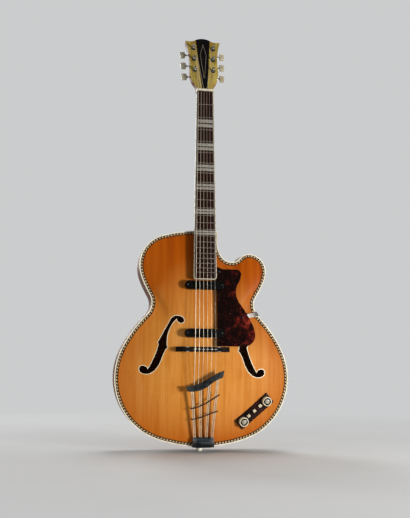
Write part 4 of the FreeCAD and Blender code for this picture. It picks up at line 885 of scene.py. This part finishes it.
for number in range(1, SLIDER_COUNT + 1):
    node_name = "switch_slider_%d" % number
    points = [CONSOLE.inverted() @ vertex.co for vertex in nodes[node_name].data.vertices]
    x_middle = (min(point.x for point in points) + max(point.x for point in points)) / 2
    z_middle = (min(point.z for point in points) + max(point.z for point in points)) / 2
    rings = []
    for x in (-SLIDER_HALF, SLIDER_HALF):
        rings.append([CONSOLE @ Vector((x_middle + x * MM, y * MM, z_middle + z * MM))
                      for z, y in cap_profile])
    cap = piece(node_name + "_cap", node_name, skinned(rings), ["knob_cream"])
    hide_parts(node_name)

# Lozenge line inlay on the dark centre of the headstock
LOZENGE = [(0, 141), (7.6, 108), (0.9, 36), (-0.9, 36), (-7.6, 108)]
LOZENGE_HALF = 0.45
LOZENGE_FRONT, LOZENGE_BACK = -0.12, 0.3
lozenge_lines = []
for first, second in neighbours(LOZENGE):
    line_start, line_end = Vector(first), Vector(second)
    along = (line_end - line_start).normalized() * LOZENGE_HALF
    across = Vector((-along.y, along.x))
    line_start -= along
    line_end += along
    outline = [line_start - across, line_end - across, line_end + across, line_start + across]
    lozenge_lines.append(extruded([tuple(corner) for corner in outline], LOZENGE_FRONT, LOZENGE_BACK))
piece("lozenge_lines", "guitar", placed(joined(lozenge_lines), HEAD), ["dull_celluloid"])

# Screws: one domed, slotted head of radius 1 mm, scaled wherever a plate is held down
SCREW_PROFILE = [(1.0, -0.6, 0), (1.0, 0, 0), (0.95, 0.14, 0), (0.8, 0.3, 0), (0.5, 0.42, 0),
                 (0.1, 0.46, 0)]
SCREW_STEPS = 28
SCREW_SLOT = (-1.2, 1.2, -0.13, 0.13)
SLOT_TOP, SLOT_FLOOR = -1.0, -0.22
screw_form = turned(SCREW_PROFILE, SCREW_STEPS)
slot_form = extruded(rectangle(*SCREW_SLOT), SLOT_TOP, SLOT_FLOOR)
slot_form = placed(slot_form, Matrix.Rotation(-math.pi / 2, 4, "X"))
screw_meshes = {}
for look_name in ("post_metal", "dark_nickel"):
    screw_mesh = cut_mesh(mesh_of("slotted_screw_" + look_name, screw_form), slot_form)
    screw_mesh.materials.clear()
    screw_mesh.materials.append(looks[look_name])
    screw_meshes[look_name] = screw_mesh


def screw(name, place, axis, side, radius, look_name="post_metal"):
    """Screw head that faces along the axis, with its slot along side."""
    made = add_object(name, screw_meshes[look_name])
    made.matrix_world = axis_frame(place, axis, side) @ Matrix.Scale(radius, 4)
    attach(made, "guitar")


# Screws of the pickups, the guard and the console; places along the neck are distances from the nut
PICKUP_SCREWS = (("neck_pickup", 492), ("bridge_pickup", 608))
PICKUP_SCREW_SIDES = (("bass", -42), ("treble", 42))
PICKUP_SCREW_DEPTH, PICKUP_SCREW_RADIUS = 1, 1.9
PICKUP_SCREW_SLOT = (1, 0, 0.4)
GUARD_SCREWS = ((36, 458), (93, 569))
GUARD_SCREW_DEPTH, GUARD_SCREW_RADIUS = 7, 2.2
CONSOLE_SCREWS = ((-48.2, -11), (-48.2, 11), (48.2, -11), (48.2, 11))
CONSOLE_SCREW_RADIUS = 1.5
for label, distance in PICKUP_SCREWS:
    for end, x in PICKUP_SCREW_SIDES:
        place = NECK @ (Vector((x, PICKUP_SCREW_DEPTH, -distance)) * MM)
        screw("%s_screw_%s" % (label, end), place, neck_front, PICKUP_SCREW_SLOT, PICKUP_SCREW_RADIUS,
              "dark_nickel")
for number, (x, distance) in enumerate(GUARD_SCREWS, start=1):
    place = NECK @ (Vector((x, GUARD_SCREW_DEPTH, -distance)) * MM)
    screw("guard_screw_%d" % number, place, neck_front, (1, 0, number), GUARD_SCREW_RADIUS, "dark_nickel")
for number, (x, z) in enumerate(CONSOLE_SCREWS, start=1):
    place = CONSOLE @ (Vector((x, 0, z)) * MM)
    screw("console_screw_%d" % number, place, console_out, (1, 0, number), CONSOLE_SCREW_RADIUS)

# Screws of the tuner plates on the back of the headstock, and those of the tailpiece's anchor
POST_X, POST_MIDDLE, POST_LEAN = 24.3, 93, 2
PLATE_BACK = 16.7
PLATE_SCREWS = ((0, -48.3), (0, -19.8), (0, 14.2), (-5.7, 40.3), (5.7, 40.3))
PLATE_SCREW_RADIUS = 1.6
ANCHOR_SCREWS_X = (-18, 20)
ANCHOR_SCREW_Y = -12
ANCHOR_SCREW_SINK = 0.7
ANCHOR_SCREW_RADIUS = 2.0
for side, label in ((-1, "bass"), (1, "treble")):
    row = HEAD @ Matrix.Translation(Vector((side * POST_X, 0, POST_MIDDLE)) * MM)
    row = row @ Matrix.Rotation(math.radians(side * POST_LEAN), 4, "Y")
    for number, (x, z) in enumerate(PLATE_SCREWS, start=1):
        place = row @ (Vector((x, PLATE_BACK, z)) * MM)
        screw("%s_plate_screw_%d" % (label, number), place, head_back, (1, 0, number), PLATE_SCREW_RADIUS)
anchor_low_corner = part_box("tailpiece_anchor")[0]
for number, x in enumerate(ANCHOR_SCREWS_X, start=1):
    place = Vector((x * MM, ANCHOR_SCREW_Y * MM, anchor_low_corner.z + ANCHOR_SCREW_SINK * MM))
    screw("anchor_screw_%d" % number, place, (0, 0, -1), (1, number, 0), ANCHOR_SCREW_RADIUS)

# Hexagon nut on the output jack's collar, round its threaded bushing
NUT_FLATS, NUT_HOLE = 6.0, 5.0
# Radius, height, and whether the row is a hexagon
NUT_ROWS = ((NUT_HOLE, 2.3, False), (NUT_FLATS, 2.3, True), (NUT_FLATS, 3.1, True), (NUT_FLATS, 3.4, False),
            (NUT_HOLE, 3.4, False))
NUT_STEPS = 48
JACK_RISE = 3.5
jack_mount = next(mount for mount in frame["record"]["mounts"] if mount["name"] == "output_jack")
jack_foot = Vector(jack_mount["pos_m"]) - Vector(jack_mount["axis"]) * (JACK_RISE * MM)
nut_place = axis_frame(jack_foot, jack_mount["axis"], (0, 1, 0))
nut_vertices, nut_faces = [], []
for radius, height, hexagonal in NUT_ROWS:
    for step in range(NUT_STEPS):
        angle = 2 * math.pi * step / NUT_STEPS
        off_flat = (angle % (math.pi / 3)) - math.pi / 6
        reach = radius / (math.cos(off_flat) if hexagonal else 1)
        nut_vertices.append(Vector((reach * math.cos(angle), reach * math.sin(angle), height)) * MM)
for row in range(len(NUT_ROWS)):
    here, above = row * NUT_STEPS, (row + 1) % len(NUT_ROWS) * NUT_STEPS
    for step in range(NUT_STEPS):
        following = (step + 1) % NUT_STEPS
        nut_faces.append((here + step, here + following, above + following, above + step))
piece("jack_nut", "guitar", placed((nut_vertices, nut_faces), nut_place), ["post_metal"])

# Rounded edges of plates and blocks, by their width, and the groove across the tailpiece's anchor
ROUNDED = {"tailpiece_crossbar": 0.5, "tailpiece_anchor": 0.8, "pickguard": 0.6, "bridge_base": 0.8,
           "bridge_saddle": 0.8, "pickguard_bracket": 0.4, "console_plate": 0.7, "nut": 0.3}
GROOVE = (-14, 14.6, 16.8, 18.8)
GROOVE_START, GROOVE_DEPTH = -1, 4
rounded_pieces = {name: rounded(name, width) for name, width in ROUNDED.items()}
anchor_piece = rounded_pieces["tailpiece_anchor"]
anchor_front = anchor_low_corner.y / MM
groove = extruded(rectangle(*GROOVE), anchor_front + GROOVE_START, anchor_front + GROOVE_DEPTH)
anchor_piece.data = cut_mesh(anchor_piece.data, groove)

# Plain studio: a pale floor that fades into the background
BACKGROUND = (0.60, 0.605, 0.61)
AMBIENT = (0.92, 0.94, 0.96)
AMBIENT_STRENGTH = 0.22
FLOOR_HALF = 3.0
FLOOR_GAP = 0.2 * MM
FADE_START, FADE_END = 0.4, 1.5
floor_corners = [(x, y, 0) for x, y in rectangle(-FLOOR_HALF, FLOOR_HALF, -FLOOR_HALF, FLOOR_HALF)]
floor_mesh = mesh_of("floor", (floor_corners, [(0, 1, 2, 3)]))
floor_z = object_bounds()[0].z - FLOOR_GAP
floor = add_object("floor", floor_mesh)
floor.location.z = floor_z
floor_look = Look("floor", Roughness=0.9, Specular_IOR_Level=0.1)
pale = floor_look.ramp(floor_look.noise((3, 3, 3)), (0.3, (0.70, 0.70, 0.69)), (0.7, (0.74, 0.74, 0.73)))
floor_mesh.materials.append(floor_look.finish(pale))
away = floor_look.add("VectorMath", "Value", {"operation": "LENGTH"}, Vector=floor_look.position)
floor_look.feed(floor_look.shader.inputs["Alpha"], floor_look.spread(away, 1.0, 0.0, FADE_START, FADE_END))

# Soft lamps: place and aim in metres, width, watts and colour
LAMPS = {
    "key": ((1.35, -1.55, 0.22), (0.05, 0, 0.25), 0.42, 44, (1.0, 0.97, 0.93)),
    "fill": ((-2.2, -2.4, 1.2), (0, 0, 0.45), 1.8, 8, (0.94, 0.97, 1.0)),
    "top": ((0.3, 0.5, 2.8), (0, 0, 0.4), 1.4, 24, (1.0, 1.0, 1.0)),
    "behind": ((-1.2, 2.6, 1.4), (0, 0, 0.45), 1.6, 40, (1.0, 1.0, 1.0)),
}
for name, (place, aim, width, watts, colour) in LAMPS.items():
    light = bpy.data.lights.new(name, "AREA")
    light.shape = "DISK"
    light.size = width
    light.energy = watts
    light.color = colour
    lamp = add_object(name, light)
    lamp.location = place
    lamp.rotation_mode = "QUATERNION"
    lamp.rotation_quaternion = (Vector(aim) - Vector(place)).to_track_quat("-Z", "Y")

# World: the camera and reflections see the plain background, and the ambient light falls on the rest
world = bpy.data.worlds.new("studio")
scene.world = world
world.use_nodes = True
tree = world.node_tree
ambient = tree.nodes["Background"]
ambient.inputs["Color"].default_value = (*AMBIENT, 1)
ambient.inputs["Strength"].default_value = AMBIENT_STRENGTH
seen = tree.nodes.new("ShaderNodeBackground")
seen.inputs["Color"].default_value = (*BACKGROUND, 1)
paths = tree.nodes.new("ShaderNodeLightPath")
shown = paths.outputs["Is Camera Ray"]
for ray in ("Is Glossy Ray", "Is Transmission Ray"):
    either = tree.nodes.new("ShaderNodeMath")
    either.operation = "MAXIMUM"
    tree.links.new(shown, either.inputs[0])
    tree.links.new(paths.outputs[ray], either.inputs[1])
    shown = either.outputs[0]
choose = tree.nodes.new("ShaderNodeMixShader")
tree.links.new(shown, choose.inputs[0])
tree.links.new(ambient.outputs[0], choose.inputs[1])
tree.links.new(seen.outputs[0], choose.inputs[2])
tree.links.new(choose.outputs[0], tree.nodes["World Output"].inputs["Surface"])

# Camera at the photograph's viewpoint
CAMERA_PLACE = Vector((-321.75, -2058.08, 216.66)) * MM
CAMERA_AIM = Vector((1.778, -49, 454.35)) * MM
CAMERA_ROLL = math.radians(0.558)
FOCAL_PIXELS = 839.1
IMAGE_HEIGHT = 518
SENSOR_WIDTH = 36
camera = bpy.data.cameras.new("camera")
camera.sensor_width = SENSOR_WIDTH
camera.lens = FOCAL_PIXELS * SENSOR_WIDTH / IMAGE_HEIGHT
forward = (CAMERA_AIM - CAMERA_PLACE).normalized()
level_right = forward.cross(Vector((0, 0, 1))).normalized()
level_up = level_right.cross(forward)
right = level_right * math.cos(CAMERA_ROLL) + level_up * math.sin(CAMERA_ROLL)
up = level_up * math.cos(CAMERA_ROLL) - level_right * math.sin(CAMERA_ROLL)
eye = add_object("camera", camera)
eye.matrix_world = frame_from(CAMERA_PLACE, right, up, -forward)
scene.camera = eye
scene.view_settings.view_transform = "Standard"
